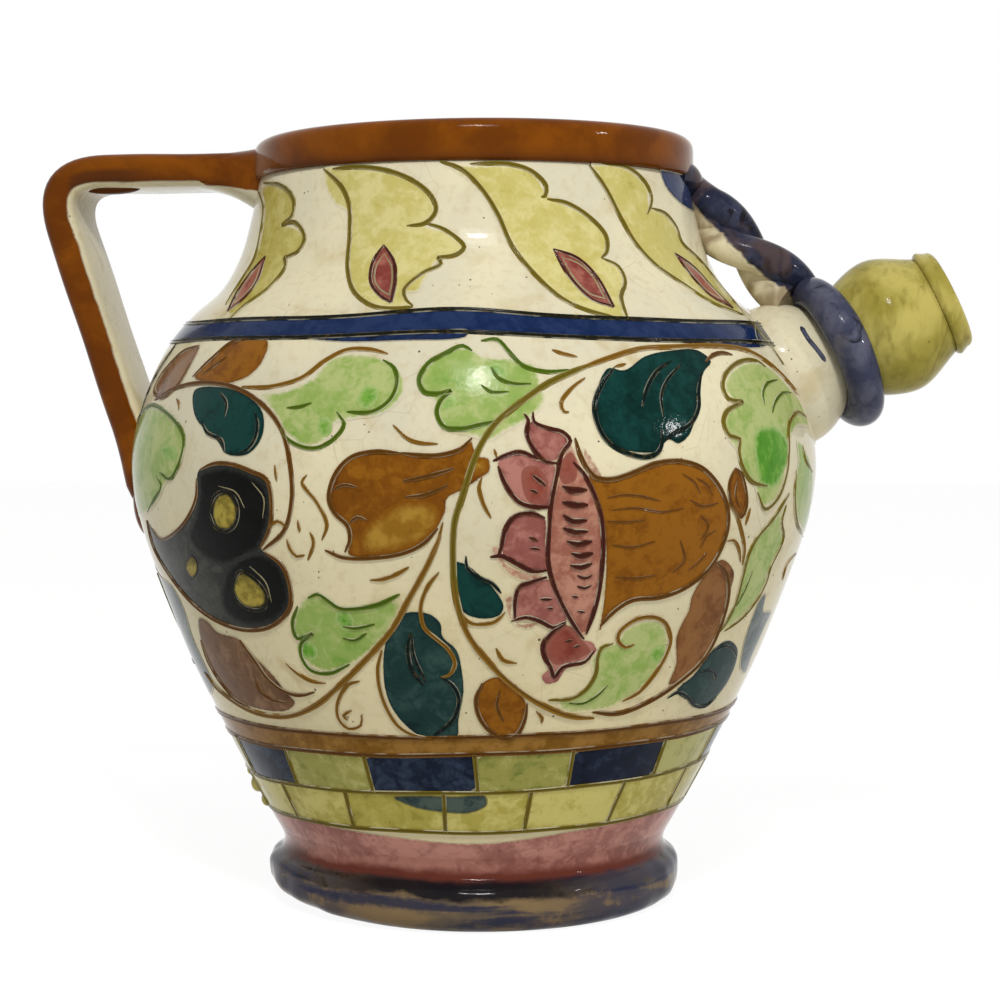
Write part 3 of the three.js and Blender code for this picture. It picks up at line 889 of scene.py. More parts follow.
# The arm flares where it is worked onto the neck; a smear covers the foot of the limb
flare = dict(
    start=-88, end=-57, height=8.4, width=4, drop=5, growth=2.6, steps=18, sides=44,
    tall=(0.94, 0.1), wide=(0.96, 0.06), squareness=(3.6, 1.5),  # at the arm, and the change at the neck
    creamBelow=207.4, creamDrop=3.4, creamLevel=0.86, creamSlope=0.15,
)
flareRings = []
for i in range(flare["steps"] + 1):
    t = i / flare["steps"]
    grown = t ** flare["growth"]
    tall = handle["thickness"] / 2 * (flare["tall"][0] + flare["tall"][1] * t) + flare["height"] * grown
    wide = handle["width"] / 2 * (flare["wide"][0] + flare["wide"][1] * t) + flare["width"] * grown
    power = 2 / (flare["squareness"][0] - flare["squareness"][1] * grown)
    along = flare["start"] + (flare["end"] - flare["start"]) * t
    flareRing = []
    for k in range(flare["sides"]):
        turn = math.tau * k / flare["sides"]
        across, up = math.cos(turn), math.sin(turn)
        across = math.copysign(abs(across) ** power, across)
        up = math.copysign(abs(up) ** power, up)
        flareRing.append((along, wide * across, armHeight - flare["drop"] * grown + tall * up))
    flareRings.append(flareRing)
upperLuting = loftPiece("upper_handle_luting", flareRings, "amber")


def flareInner(spot):  # the share of bare cream under the arm; its edge runs down towards the neck
    t = (spot.x / millimetre - flare["start"]) / (flare["end"] - flare["start"])
    edge = flare["creamBelow"] - flare["creamDrop"] * t * t
    return min(1, max(0, flare["creamLevel"] + (edge - spot.z / millimetre) * flare["creamSlope"]))


flareShares = [flareInner(vertex.co) for vertex in upperLuting.data.vertices]
keepValues(upperLuting.data, "inner", "FLOAT", flareShares)
settle(upperLuting, "amber_glaze", "handle_upper_luting")
limbSmear = dict(place=(-96.6, 0, 116), sizes=(4.2, 17.5, 13))
lowerLuting = eggPiece("lower_handle_luting", limbSmear["place"], limbSmear["sizes"], "amber")
settle(lowerLuting, "amber_glaze", "handle_lower_luting")
lump = dict(place=(-107.5, -6.6, armHeight - 4.5), sizes=(9, 3.6, 2.1))  # dark brown all over, on the arm's lower edge
cornerLump = eggPiece("handle_corner_lump", lump["place"], lump["sizes"], "amber")
keepValues(cornerLump.data, "shadeBrown", "FLOAT", [1.0] * len(cornerLump.data.vertices))
settle(cornerLump, "amber_glaze")
print("handle: strap, lutings, corner lump")


# Spout: domed root, tied neck, bulb and lip along one tilted axis
spout = dict(
    height=152.6, tilt=25, wall=4.2, root=20.6, rootFlare=(0.8, 0.4), rootDepth=12, swell=18.6, swellAt=6,
    tie=12.5, tieAt=13.6, tieLap=1, boreDepth=6, shoulder=17, shoulderAt=19.6, bulb=20.2, bulbAt=31.5,
    groove=14.7, grooveAt=44.4, grooveLap=0.4, lip=15.9, lipTaper=1.1, lipLength=5.6, lipRound=2,
    lipGap=0.3, lipEdge=1.4, lipBead=1.2, step=0.6, facets=96, rings=80,
)
spoutTurn = Matrix.Rotation(math.radians(90 - spout["tilt"]), 4, "Y")
spoutPlace = Matrix.Translation((bodyRadius(spout["height"]), 0, spout["height"])) @ spoutTurn


def spoutPiece(name, outline, glaze, slot, *nodes):
    piece = turnedPiece(name, outline, spout["facets"], spout["rings"], glaze)
    scaled = Matrix.Scale(millimetre, 4) @ spoutPlace @ Matrix.Scale(1 / millimetre, 4)
    piece.data.transform(scaled)
    tidyFaces(piece)
    settle(piece, slot, *nodes)
    return piece


domeLine = smoothPath([
    (spout["root"] + spout["rootFlare"][0], -spout["rootDepth"]), (spout["root"] + spout["rootFlare"][1], 0),
    (spout["swell"], spout["swellAt"]), (spout["tie"], spout["tieAt"]),
], spout["step"])
tieBore = spout["tie"] - spout["wall"]
dome = [tuple(point) for point in domeLine]
dome += [(tieBore, spout["tieAt"]), (tieBore, -spout["boreDepth"])]
dome += [(spout["root"] - spout["wall"], -spout["rootDepth"])]
domePiece = spoutPiece("spout_dome", dome, "cream", "cream_glaze", "spout_tube")

bulbLine = smoothPath([
    (spout["tie"], spout["tieAt"] - spout["tieLap"]), (spout["shoulder"], spout["shoulderAt"]),
    (spout["bulb"], spout["bulbAt"]), (spout["groove"], spout["grooveAt"] + spout["grooveLap"]),
], spout["step"])
bulbOutline = [tuple(point) for point in bulbLine]
bulbOutline += [(max(point[0] - spout["wall"], tieBore), point[1]) for point in reversed(bulbLine)]
spoutPiece("spout_gourd", bulbOutline, "olive", "olive_glaze", "spout_bulb")

lipStart = spout["grooveAt"] + spout["lipGap"]
lipEnd = lipStart + spout["lipLength"]
lipBore = spout["groove"] - spout["wall"]
lipOuter = spout["lip"] - spout["lipTaper"] - spout["lipRound"]
lipEdge = spout["lipEdge"]
lipOutline = roundCorner(spout["lip"] - lipEdge, lipStart + lipEdge, lipEdge, -90, 0)
lipOutline += roundCorner(lipOuter, lipEnd - spout["lipRound"], spout["lipRound"], 0, 90)
lipOutline += roundCorner(lipBore + spout["lipBead"], lipEnd - spout["lipBead"], spout["lipBead"], 90, 180)
lipOutline += [(lipBore, lipStart)]
spoutPiece("spout_lip_band", lipOutline, "olive", "olive_glaze", "spout_lip")

ropeRing = dict(radius=18, tube=5.3, uneven=0.25, lean=12, steps=72, sides=24)
ringLean = Matrix.Rotation(math.radians(-ropeRing["lean"]), 4, "X")
ringFrame = spoutPlace @ Matrix.Translation((0, 0, spout["tieAt"])) @ ringLean
ringTurns = [math.tau * i / ropeRing["steps"] for i in range(ropeRing["steps"])]
ringOut = [Vector((math.cos(turn), math.sin(turn), 0)) for turn in ringTurns]
tiedRing = sweptPiece(
    "tied_ring",
    [ringFrame @ (out * ropeRing["radius"]) for out in ringOut],
    [ringFrame.to_3x3() @ out for out in ringOut],
    [(ropeRing["tube"] + ropeRing["uneven"] * math.sin(3 * turn + 1)) * millimetre for turn in ringTurns],
    rolling, {"Sides": ropeRing["sides"], "Glaze": finishes["ring"]}, closed=True,
)
settle(tiedRing, "indigo_glaze", "rope_ring")

# Twisted rope: two strands wound round a bowed line from under the rim to the ring
rope = dict(
    strand=5.2, tip=3.6, plump=0.2, widen=(0, 0.14, 0.3), orbit=3.6, turns=1.06, start=-121, bow=0.3,
    sink=1.6, back=1.4, steps=64, every=4, freeFrom=17, sides=24, step=1.0, lay=(0.3, 1, 0.2),
    wound=[((682, 160), -2.6), ((687, 173), -1.5), ((694, 190), -0.2)],  # picture point, lift off the neck
    creamLevel=1.5, frontEdge=-11, allBlue=5.0,  # the underside is cream, but not in front of frontEdge
)
sideways = Vector((0, 1, 0))
ropeStart = Vector((mouthRadius, 0, throatHeight))


def overRope(end):  # square to the rope's line, upwards
    return (end - ropeStart).cross(sideways).normalized()


ropeEnd = spoutPlace @ Vector((-ropeRing["radius"], 0, spout["tieAt"] - rope["back"]))
ropeEnd = ropeEnd - overRope(ropeEnd) * rope["sink"]
ropeMiddle = ropeStart.lerp(ropeEnd, 0.5) + overRope(ropeEnd) * 2 * rope["bow"]


def ropeSpot(t):
    return bentLine(ropeStart, ropeMiddle, ropeEnd, t)


def ropeTop(spot):  # height over the rope's own line, square to it
    return (spot - ropeStart).dot(overRope(ropeEnd)) - rope["creamLevel"]


def strandSpot(start, t):
    turn = math.radians(start) - t * rope["turns"] * math.tau
    along = (ropeSpot(t + 0.01) - ropeSpot(t - 0.01)).normalized()
    out = sideways * math.cos(turn) + along.cross(sideways) * math.sin(turn)
    return ropeSpot(t) + out * rope["orbit"]


def pressIntoWall(piece):  # an end that would come through stays inside the neck's wall
    for vertex in piece.data.vertices:
        spot = vertex.co / millimetre
        wall = bodyRadius(spot.z) - thrown["wall"] / 2 if spot.z < rimLow.z else rimRadius - rim["wall"] / 2
        radius = math.hypot(spot.x, spot.y)
        if radius < wall:
            vertex.co.x *= wall / radius
            vertex.co.y *= wall / radius


def freeSpots(start, first):  # every few steps along a strand
    return [strandSpot(start, i / rope["steps"]) for i in range(first, rope["steps"] + 1, rope["every"])]


# One strand ends in the wall, the other is worked round the neck under the rim
woundSpots = [bodySpot(*onBody(pixel), lift)[0] for pixel, lift in rope["wound"]]
frontLine = woundSpots + freeSpots(rope["start"], rope["freeFrom"])
frontWidths = (rope["widen"], (rope["tip"], rope["strand"], rope["strand"] + rope["plump"]))
backLine = freeSpots(rope["start"] + 180, rope["every"])
backWidths = ((0, 1), (rope["strand"], rope["strand"]))
for name, line, widths, node in (
    ("front_strand", frontLine, frontWidths, "rope_strand_front"),
    ("back_strand", backLine, backWidths, "rope_strand_back"),
):
    spots = smoothPath([tuple(spot) for spot in line], rope["step"])
    sizes = [between(i / len(spots), *widths) * millimetre for i in range(len(spots))]
    lay = Vector(rope["lay"])
    normals = [(ahead - spot).cross(lay).normalized() for spot, ahead in zip(spots, spots[1:])]
    strand = sweptPiece(
        name, spots, normals + normals[-1:], sizes, rolling,
        {"Sides": rope["sides"], "Glaze": finishes["rope"]},
    )
    pressIntoWall(strand)
    frontEdge = rope["frontEdge"] * millimetre
    keepValues(strand.data, "top", "FLOAT", [
        ropeTop(vertex.co / millimetre) if vertex.co.y > frontEdge else rope["allBlue"]
        for vertex in strand.data.vertices
    ])
    settle(strand, "indigo_glaze", node)
mash = dict(at=0.27, long=9, tall=6.4, wide=6.6)  # the strands are pressed together under the rim
ropeFoot = eggPiece("rope_luting_smear", (0, 0, 0), (mash["long"], mash["wide"], mash["tall"]), "rope")
ropeSlope = math.atan2(ropeStart.z - ropeEnd.z, ropeEnd.x - ropeStart.x)
mashPlace = Matrix.Translation(ropeSpot(mash["at"]) * millimetre) @ Matrix.Rotation(ropeSlope, 4, "Y")
ropeFoot.data.transform(mashPlace)
pressIntoWall(ropeFoot)
mashTops = [ropeTop(vertex.co / millimetre) for vertex in ropeFoot.data.vertices]
keepValues(ropeFoot.data, "top", "FLOAT", mashTops)
settle(ropeFoot, "indigo_glaze", "rope_luting")

# Smear that lutes the spout's root to the body: a low roll that follows the seam
seam = dict(width=2.2, out=0.9, sink=0.75, steps=96, sides=16, reach=25.0, halvings=24)


def seamSpot(turn):  # where the spout's root meets the body
    radius = spout["root"] + seam["out"]
    rootSpot = Vector((radius * math.cos(turn), radius * math.sin(turn), 0))

    def inBody(reach):
        spot = spoutPlace @ (rootSpot + Vector((0, 0, reach)))
        return math.hypot(spot.x, spot.y) < bodyRadius(spot.z)

    reach = halved(inBody, -seam["reach"], seam["reach"], seam["halvings"])[0]
    spot = spoutPlace @ (rootSpot + Vector((0, 0, reach)))
    return bodySpot(math.atan2(spot.x, -spot.y), spot.z, -seam["sink"])


seamSpots, seamNormals = zip(*(seamSpot(math.tau * i / seam["steps"]) for i in range(seam["steps"])))
seamRoll = sweptPiece(
    "spout_seam_smear", seamSpots, seamNormals, [seam["width"] / 2 * millimetre] * seam["steps"], rolling,
    {"Sides": seam["sides"], "Glaze": finishes["cream"]}, closed=True,
)
settle(seamRoll, "cream_glaze", "spout_luting")


def onPiece(piece, pixel):  # spot and normal of a picture point on any piece
    spot, normal = piece.ray_cast(eye * millimetre, pixelRay(pixel).normalized())[1:3]
    return spot / millimetre, normal


dash = dict(line=[(801, 327), (808, 339), (817, 350), (825, 361)], width=1.5, tip=0.5, step=3, sides=10)
dashLine = smoothPath(dash["line"], dash["step"])
dashSpots, dashNormals = zip(*(onPiece(domePiece, pixel) for pixel in dashLine))
dashWidths = [dash["width"] / 2 * millimetre] * len(dashSpots)
for end in (0, -1):
    dashWidths[end] *= dash["tip"]
domeDash = sweptPiece(
    "spout_dash", dashSpots, dashNormals, dashWidths, rolling,
    {"Sides": dash["sides"], "Glaze": finishes["ring"]},
)
settle(domeDash, "indigo_glaze")
print("spout and rope: dome, gourd, lip, ring, strands, lutings")


# Ornament: sheets of glaze and incised lines, given in picture points and mirrored onto the back
ornament = dict(
    lift=0.1, layerLift=0.05, strokeLift=0.2, burr=0.75, tuck=0.4,
    grain=2.2, rowGap=0.87, edgeRow=0.55, edgeClear=0.4,
    patchStep=3.0, touchStep=2.2, almondStep=2.0, strokeStep=4.5, placedStep=0.9, closest=0.12,
    toneSwing=0.06, toneBeat=2.4, spillTone=-0.05, spotUneven=0.16, spotPoints=9,
    tip=0.3, tipPoints=4, tipPower=0.6,  # a stroke's narrow ends
)
sheets = {}
strokeBook = dict(spots=[], normals=[], halfWidths=[], inks=[], edges=[])
inks = dict(  # the last number is how strong the pale painted highlight on the burrs is
    vine=(*screenColour(128, 92, 24)[:3], 0.4),
    umber=(*screenColour(98, 62, 14)[:3], 0.25),
    russet=(*screenColour(106, 64, 10)[:3], 0.05),
    moss=(*screenColour(78, 102, 16)[:3], 0.45),
    olive=(*screenColour(112, 98, 26)[:3], 0.4),
    maroon=(*screenColour(72, 30, 20)[:3], 0.4),
    soot=(*screenColour(24, 24, 14)[:3], 0.25),
    tealInk=(*screenColour(4, 26, 22)[:3], 0.25),
    bone=(*screenColour(150, 140, 104)[:3], 0.3),
)


def sheetOf(glaze):
    return sheets.setdefault(glaze, dict(spots=[], faces=[], edge=[], tone=[]))


def turnBack(turn):  # the same place on the back
    return math.pi - turn


def edgeDistance(spot, ring):
    best = 1e9
    for a, b in zip(ring, ring[1:] + ring[:1]):
        side = b - a
        t = min(max((spot - a).dot(side) / max(side.length_squared, 1e-9), 0), 1)
        best = min(best, (spot - a - side * t).length_squared)
    return best ** 0.5


def insideRing(spot, ring):
    odd = False
    for a, b in zip(ring, ring[1:] + ring[:1]):
        if (a.y > spot.y) != (b.y > spot.y) and spot.x < a.x + (b.x - a.x) * (spot.y - a.y) / (b.y - a.y):
            odd = not odd
    return odd


def addFlatPatch(glaze, ring, girth, layer, tone):  # ring in millimetres round and up the body
    grain = ornament["grain"]
    rowHeight = grain * ornament["rowGap"]
    inner = []
    for a, b in zip(ring, ring[1:] + ring[:1]):
        side = (b - a).orthogonal().normalized()
        for reach in (ornament["edgeRow"], -ornament["edgeRow"]):
            inner.append((a + b) / 2 + side * reach)
    left, right = min(p.x for p in ring), max(p.x for p in ring)
    low, high = min(p.y for p in ring), max(p.y for p in ring)
    for row in range(int((high - low) / rowHeight) + 1):
        x = left + (0.25 + 0.5 * (row % 2)) * grain
        while x < right:
            inner.append(Vector((x, low + (row + 0.5) * rowHeight)))
            x += grain
    clear = ornament["edgeClear"]
    kept = [spot for spot in inner if insideRing(spot, ring) and edgeDistance(spot, ring) > clear]
    loop = [(i, (i + 1) % len(ring)) for i in range(len(ring))]
    spots, _, faces, _, _, _ = delaunay_2d_cdt(ring + kept, loop, [list(range(len(ring)))], 1, 0.001)
    sheet = sheetOf(glaze)
    lift = ornament["lift"] + layer * ornament["layerLift"]
    for back in (False, True):
        start = len(sheet["spots"])
        for spot in spots:
            turn = spot.x / girth
            height = between(spot.y, outsideArcs, outsideHeights)
            sheet["spots"].append(bodySpot(turnBack(turn) if back else turn, height, lift)[0])
            sheet["edge"].append(edgeDistance(spot, ring))
            sheet["tone"].append(tone)
        for face in faces:
            corners = [start + i for i in face]
            sheet["faces"].append(corners[::-1] if back else corners)


def flattened(places):  # (turn, height) places as millimetres round and up the body, and the girth there
    girth = bodyRadius(sum(height for turn, height in places) / len(places))
    arcs = [between(height, outsideHeights, outsideArcs) for turn, height in places]
    return [Vector((turn * girth, arc)) for (turn, height), arc in zip(places, arcs)], girth


def addPatch(glaze, outline, layer=0, tone=0.0, step=ornament["patchStep"], shift=0.0):
    pixels = smoothPath(outline, step, closed=True)
    ring, girth = flattened([(turn + shift, height) for turn, height in map(onBody, pixels)])
    gaps = [(spot - before).length for spot, before in zip(ring, ring[-1:] + ring)]
    kept = [spot for spot, gap in zip(ring, gaps) if gap > ornament["closest"]]
    addFlatPatch(glaze, kept, girth, layer, tone)


def addPlacedPatch(glaze, places):  # an outline of (turn, height) places, smoothed on the body
    ring, girth = flattened(places)
    outline = smoothPath([tuple(spot) for spot in ring], ornament["placedStep"], closed=True)
    addFlatPatch(glaze, outline, girth, 0, 0.0)


def addSpot(glaze, centre, radius):
    outline = []
    for i in range(ornament["spotPoints"]):
        turn = math.tau * i / ornament["spotPoints"]
        reach = radius * (1 + ornament["spotUneven"] * math.sin(2 * turn + centre[0]))
        outline.append((centre[0] + reach * math.cos(turn), centre[1] + reach * math.sin(turn)))
    addPatch(glaze, outline, 1)


def drawLine(ink, widths, places):  # one incised line through (turn, height) places
    start = len(strokeBook["spots"])
    for (turn, height), width in zip(places, widths):
        spot, normal = bodySpot(turn, height, ornament["strokeLift"])
        strokeBook["spots"].append(spot)
        strokeBook["normals"].append(normal)
        strokeBook["halfWidths"].append(width / 2 * millimetre)
        strokeBook["inks"].append(inks[ink])
    strokeBook["edges"] += [(start + i, start + i + 1) for i in range(len(places) - 1)]


def addStroke(ink, width, pixels, shift=0.0):  # a line with narrow ends, on the front and on the back
    smooth = smoothPath(pixels, ornament["strokeStep"])
    places = [(turn + shift, height) for turn, height in map(onBody, smooth)]
    reach = len(places) - 1
    widths = []
    for i in range(reach + 1):
        share = min(1, min(i, reach - i) / max(min(ornament["tipPoints"], reach / 3), 1))
        widths.append(width * (ornament["tip"] + (1 - ornament["tip"]) * share ** ornament["tipPower"]))
    drawLine(ink, widths, places)
    drawLine(ink, widths, [(turnBack(turn), height) for turn, height in places])


# Girdles: heights that run round the body by rule, with a little of the hand in them
girdles = dict(
    blueTop=dict(level=165.7, tilt=-0.3, bump=2.0),
    blueFoot=dict(level=160.4, tilt=-0.5, bump=1.6),
    brownTop=dict(level=56.1, tilt=1.3, bump=0),
    brownFoot=dict(level=51.0, tilt=2.0, bump=0),
    brickSplit=dict(level=40.0, tilt=2.1, bump=0),
    brickFoot=dict(level=28.5, tilt=0.9, bump=0),
    roseTop=dict(level=28.2, tilt=0.9, bump=-3.0, span=27),
    roseFoot=dict(level=19.6, tilt=0, bump=0),
)
girdleHand = dict(sway=0.25, quick=7, slow=3, bumpAt=4, bumpSpan=15)


def girdleHeight(name, turn):
    girdle = girdles[name]
    degrees = math.degrees(math.atan2(math.sin(turn), abs(math.cos(turn))))
    ripple = math.sin(turn * girdleHand["quick"] + girdle["level"]) * math.cos(turn * girdleHand["slow"])
    aside = (degrees - girdleHand["bumpAt"]) / girdle.get("span", girdleHand["bumpSpan"])
    swell = girdle["bump"] * math.exp(-aside ** 2)
    return girdle["level"] + girdle["tilt"] * math.sin(turn) + swell + girdleHand["sway"] * ripple


band = dict(columnDegrees=1.5, rows=8, lineDegrees=1.2, edgeStart=0.3, endless=9)


def addRegion(glaze, foot, top, start, end, tone=0.0, inset=0.0):  # a stretch of a band, all on one sheet
    sheet = sheetOf(glaze)
    columns = max(3, round(math.degrees(end - start) / band["columnDegrees"]))
    rows = band["rows"]
    first = len(sheet["spots"])
    wholeRound = end - start > math.tau - 0.001
    for column in range(columns + 1):
        turn = start + (end - start) * column / columns
        low, high = girdleHeight(foot, turn) + inset, girdleHeight(top, turn) - inset
        for row in range(rows + 1):
            height = low + (high - low) * row / rows
            sheet["spots"].append(bodySpot(turn, height, ornament["lift"])[0])
            upright = min(height - low, high - height)
            level = band["endless"] if wholeRound else min(turn - start, end - turn) * bodyRadius(height)
            sheet["edge"].append(min(upright, level) + band["edgeStart"])
            sheet["tone"].append(tone)
    for column in range(columns):
        for row in range(rows):
            corner = first + column * (rows + 1) + row
            sheet["faces"].append((corner, corner + rows + 1, corner + rows + 2, corner + 1))


def addGirdleLine(name, width, ink):
    count = round(360 / band["lineDegrees"])
    turns = [math.tau * i / count for i in range(count + 1)]
    drawLine(ink, [width] * len(turns), [(turn, girdleHeight(name, turn)) for turn in turns])


addRegion("cobalt", "blueFoot", "blueTop", 0, math.tau)
addGirdleLine("blueTop", 1.5, "soot")
addGirdleLine("blueFoot", 1.4, "soot")
addRegion("tan", "brownFoot", "brownTop", 0, math.tau)
addGirdleLine("brownTop", 1.5, "umber")
addGirdleLine("brownFoot", 1.5, "umber")
addRegion("rosewood", "roseFoot", "roseTop", 0, math.tau)
addGirdleLine("brickSplit", 1.3, "olive")
addGirdleLine("brickFoot", 1.4, "olive")

# Bricks: two courses laid round the body, joints staggered by half a brick
bricks = dict(
    count=16, seed=7, jitter=1.6, toneSpread=0.12, inset=0.3, joint=1.35, jointSteps=8,
    courses=(("brickSplit", "brownFoot", -39), ("brickFoot", "brickSplit", -47.5)),  # foot, top, first joint
    glazes=(("brickGreen", "brickBlue"), ("brickYellow", "brickYellow")),
)
hand = random.Random(bricks["seed"])
brickTurn = 360 / bricks["count"]
for (courseFoot, courseTop, begin), glazes in zip(bricks["courses"], bricks["glazes"]):
    joints = []
    for i in range(bricks["count"]):
        joints.append(math.radians(begin + brickTurn * i + hand.uniform(-1, 1) * bricks["jitter"]))
    joints.append(joints[0] + math.tau)
    for i in range(bricks["count"]):
        tone = hand.uniform(-bricks["toneSpread"], bricks["toneSpread"])
        addRegion(glazes[i % 2], courseFoot, courseTop, joints[i], joints[i + 1], tone, bricks["inset"])
        low, high = girdleHeight(courseFoot, joints[i]), girdleHeight(courseTop, joints[i])
        lean = math.radians(hand.uniform(-1, 1))
        shares = [k / bricks["jointSteps"] for k in range(bricks["jointSteps"] + 1)]
        places = [(joints[i] + lean * (share - 0.5), low + (high - low) * share) for share in shares]
        drawLine("olive", [bricks["joint"]] * len(places), places)

# Leaves and flowers of the belly: glaze, outline
bellyPatches = [
    ("leafGreen", [(261, 394), (285, 390), (312, 378), (330, 359), (355, 353), (385, 359), (404, 376),
        (402, 398), (380, 415), (350, 420), (333, 425), (325, 442), (304, 447), (286, 434), (272, 412)]),
    ("leafGreen", [(418, 385), (424, 368), (442, 353), (466, 346), (484, 356), (512, 358), (535, 366),
        (542, 385), (545, 402), (530, 419), (508, 431), (490, 441), (468, 436), (446, 430), (435, 414),
        (433, 400), (421, 393)]),
    ("leafGreen", [(724, 388), (730, 371), (748, 361), (768, 366), (786, 384), (802, 405), (811, 427),
        (797, 427), (788, 450), (783, 483), (772, 503), (760, 507), (754, 487), (743, 470), (737, 452),
        (727, 438), (723, 418), (733, 404)]),
    ("leafGreen", [(797, 440), (804, 447), (812, 470), (811, 500), (804, 532), (797, 520), (794, 490),
        (798, 462)]),
    ("leafGreen", [(788, 495), (781, 520), (783, 540), (770, 567), (764, 585), (750, 608), (730, 626),
        (720, 632), (732, 608), (740, 583), (747, 555), (760, 533), (776, 515)]),
    ("leafGreen", [(617, 640), (625, 629), (645, 620), (662, 622), (669, 640), (660, 665), (640, 690),
        (612, 707), (585, 712), (562, 711), (557, 702), (577, 694), (592, 676), (590, 660), (600, 648)]),
    ("leafGreen", [(295, 612), (308, 594), (324, 596), (338, 606), (360, 606), (385, 600), (401, 600),
        (392, 628), (374, 649), (352, 665), (325, 672), (306, 661), (301, 641), (293, 630)]),
    ("teal", [(195, 390), (222, 387), (248, 396), (263, 412), (262, 438), (247, 455), (226, 454),
        (218, 442), (206, 431), (195, 416)]),
    ("teal", [(596, 410), (598, 385), (608, 368), (624, 370), (645, 356), (673, 350), (697, 350),
        (711, 362), (704, 372), (698, 395), (695, 420), (688, 437), (678, 444), (669, 440), (656, 452),
        (640, 453), (620, 449), (605, 440)]),
    ("petrol", [(402, 614), (428, 613), (441, 623), (443, 636), (457, 650), (463, 675), (464, 692),
        (459, 720), (457, 737), (425, 738), (403, 723), (388, 700), (383, 672), (386, 640)]),
    ("teal", [(450, 562), (464, 563), (478, 573), (493, 587), (504, 606), (500, 615), (485, 619),
        (464, 613), (455, 595), (451, 575)]),
    ("petrol", [(714, 648), (729, 640), (737, 647), (735, 665), (722, 690), (703, 707), (690, 702),
        (676, 692), (694, 674)]),
    ("slate", [(759, 600), (766, 592), (764, 611), (771, 610), (763, 630), (752, 655), (744, 674),
        (740, 670), (744, 640), (752, 617)]),
    ("ochre", [(194, 378), (213, 358), (234, 342), (268, 340), (265, 358), (250, 376), (225, 385),
        (203, 383)]),
    ("ochre", [(370, 452), (400, 452), (440, 456), (462, 449), (471, 440), (478, 455), (489, 458),
        (490, 472), (479, 480), (465, 490), (448, 499), (446, 512), (433, 535), (408, 552), (380, 558),
        (348, 555), (350, 538), (345, 524), (331, 511), (329, 497), (337, 474), (352, 456)]),
    ("ochre", [(588, 474), (605, 480), (630, 475), (655, 464), (680, 461), (704, 469), (722, 492),
        (728, 518), (721, 547), (703, 573), (678, 591), (648, 598), (624, 603), (606, 620), (597, 640),
        (603, 600), (605, 555), (601, 515)]),
    ("ochre", [(735, 468), (730, 482), (730, 500), (740, 517), (746, 505), (745, 485), (740, 472)]),
    ("ochre", [(482, 682), (500, 676), (520, 692), (527, 703), (524, 720), (514, 736), (500, 737),
        (484, 724), (475, 705)]),
    ("rust", [(715, 562), (724, 559), (734, 571), (730, 592), (720, 625), (704, 657), (681, 680),
        (668, 685), (675, 665), (676, 636), (688, 610), (692, 594)]),
    ("taupe", [(199, 617), (208, 621), (217, 631), (238, 638), (256, 657), (272, 673), (288, 693),
        (296, 703), (288, 711), (262, 710), (238, 701), (219, 683), (204, 652)]),
    ("taupe", [(200, 345), (186, 349), (168, 367), (156, 390), (163, 398), (180, 383), (193, 362)]),
    ("smoke", [(199, 470), (220, 463), (248, 470), (267, 481), (272, 505), (268, 533), (262, 549),
        (279, 560), (291, 590), (288, 612), (268, 627), (238, 628), (208, 614), (180, 588), (158, 555),
        (147, 520), (160, 538), (180, 529), (194, 508), (197, 487)]),
    ("wine", [(528, 424), (534, 420), (548, 428), (563, 433), (568, 441), (561, 455), (553, 462),
        (540, 457), (530, 445)]),
    ("wine", [(497, 462), (515, 453), (536, 459), (555, 465), (553, 488), (549, 506), (528, 505),
        (512, 494), (503, 478)]),
    ("wine", [(511, 519), (527, 513), (545, 518), (546, 545), (547, 570), (530, 571), (512, 562),
        (500, 556), (502, 538)]),
    ("wine", [(520, 587), (538, 581), (551, 579), (560, 600), (567, 621), (553, 626), (535, 619),
        (513, 621), (515, 600)]),
    ("wine", [(566, 624), (550, 634), (543, 648), (549, 666), (541, 676), (545, 684), (557, 682),
        (567, 669), (588, 661), (597, 650), (592, 641), (582, 639)]),
    ("blush", [(583, 446), (595, 462), (603, 478), (595, 478), (585, 465)]),
    ("blush", [(491, 547), (500, 546), (506, 562), (530, 573), (545, 573), (538, 581), (518, 580),
        (504, 570)]),
    ("blush", [(505, 598), (513, 594), (514, 621), (540, 622), (530, 629), (513, 624), (506, 612)]),
    ("blush", [(571, 444), (579, 460), (589, 481), (598, 503), (603, 530), (604, 560), (600, 590),
        (594, 618), (585, 637), (573, 625), (560, 602), (550, 575), (547, 545), (550, 512), (556, 482),
        (562, 456)]),
]
for i, (glaze, outline) in enumerate(bellyPatches):
    addPatch(glaze, outline, 0, ornament["toneSwing"] * math.sin(i * ornament["toneBeat"]))

wrappedLeaves = [  # glaze, picture points, then (turn in degrees, height) places out of the picture
    (
        "leafGreen",
        [(153, 406), (172, 417), (186, 440), (180, 468), (166, 484), (160, 498), (149, 512)],
        [(-78, 112), (-81, 119), (-82, 129), (-79, 138)],
    ),
    (
        "slate",
        [(160, 575), (173, 587), (184, 608), (192, 634), (203, 660), (213, 682)],
        [(-72, 60), (-78, 68), (-82, 79), (-85, 92), (-85, 102), (-85, 102), (-80, 98)],
    ),
]
for glaze, pixels, places in wrappedLeaves:
    places = [onBody(pixel) for pixel in pixels] + [(math.radians(turn), height) for turn, height in places]
    addPlacedPatch(glaze, places)

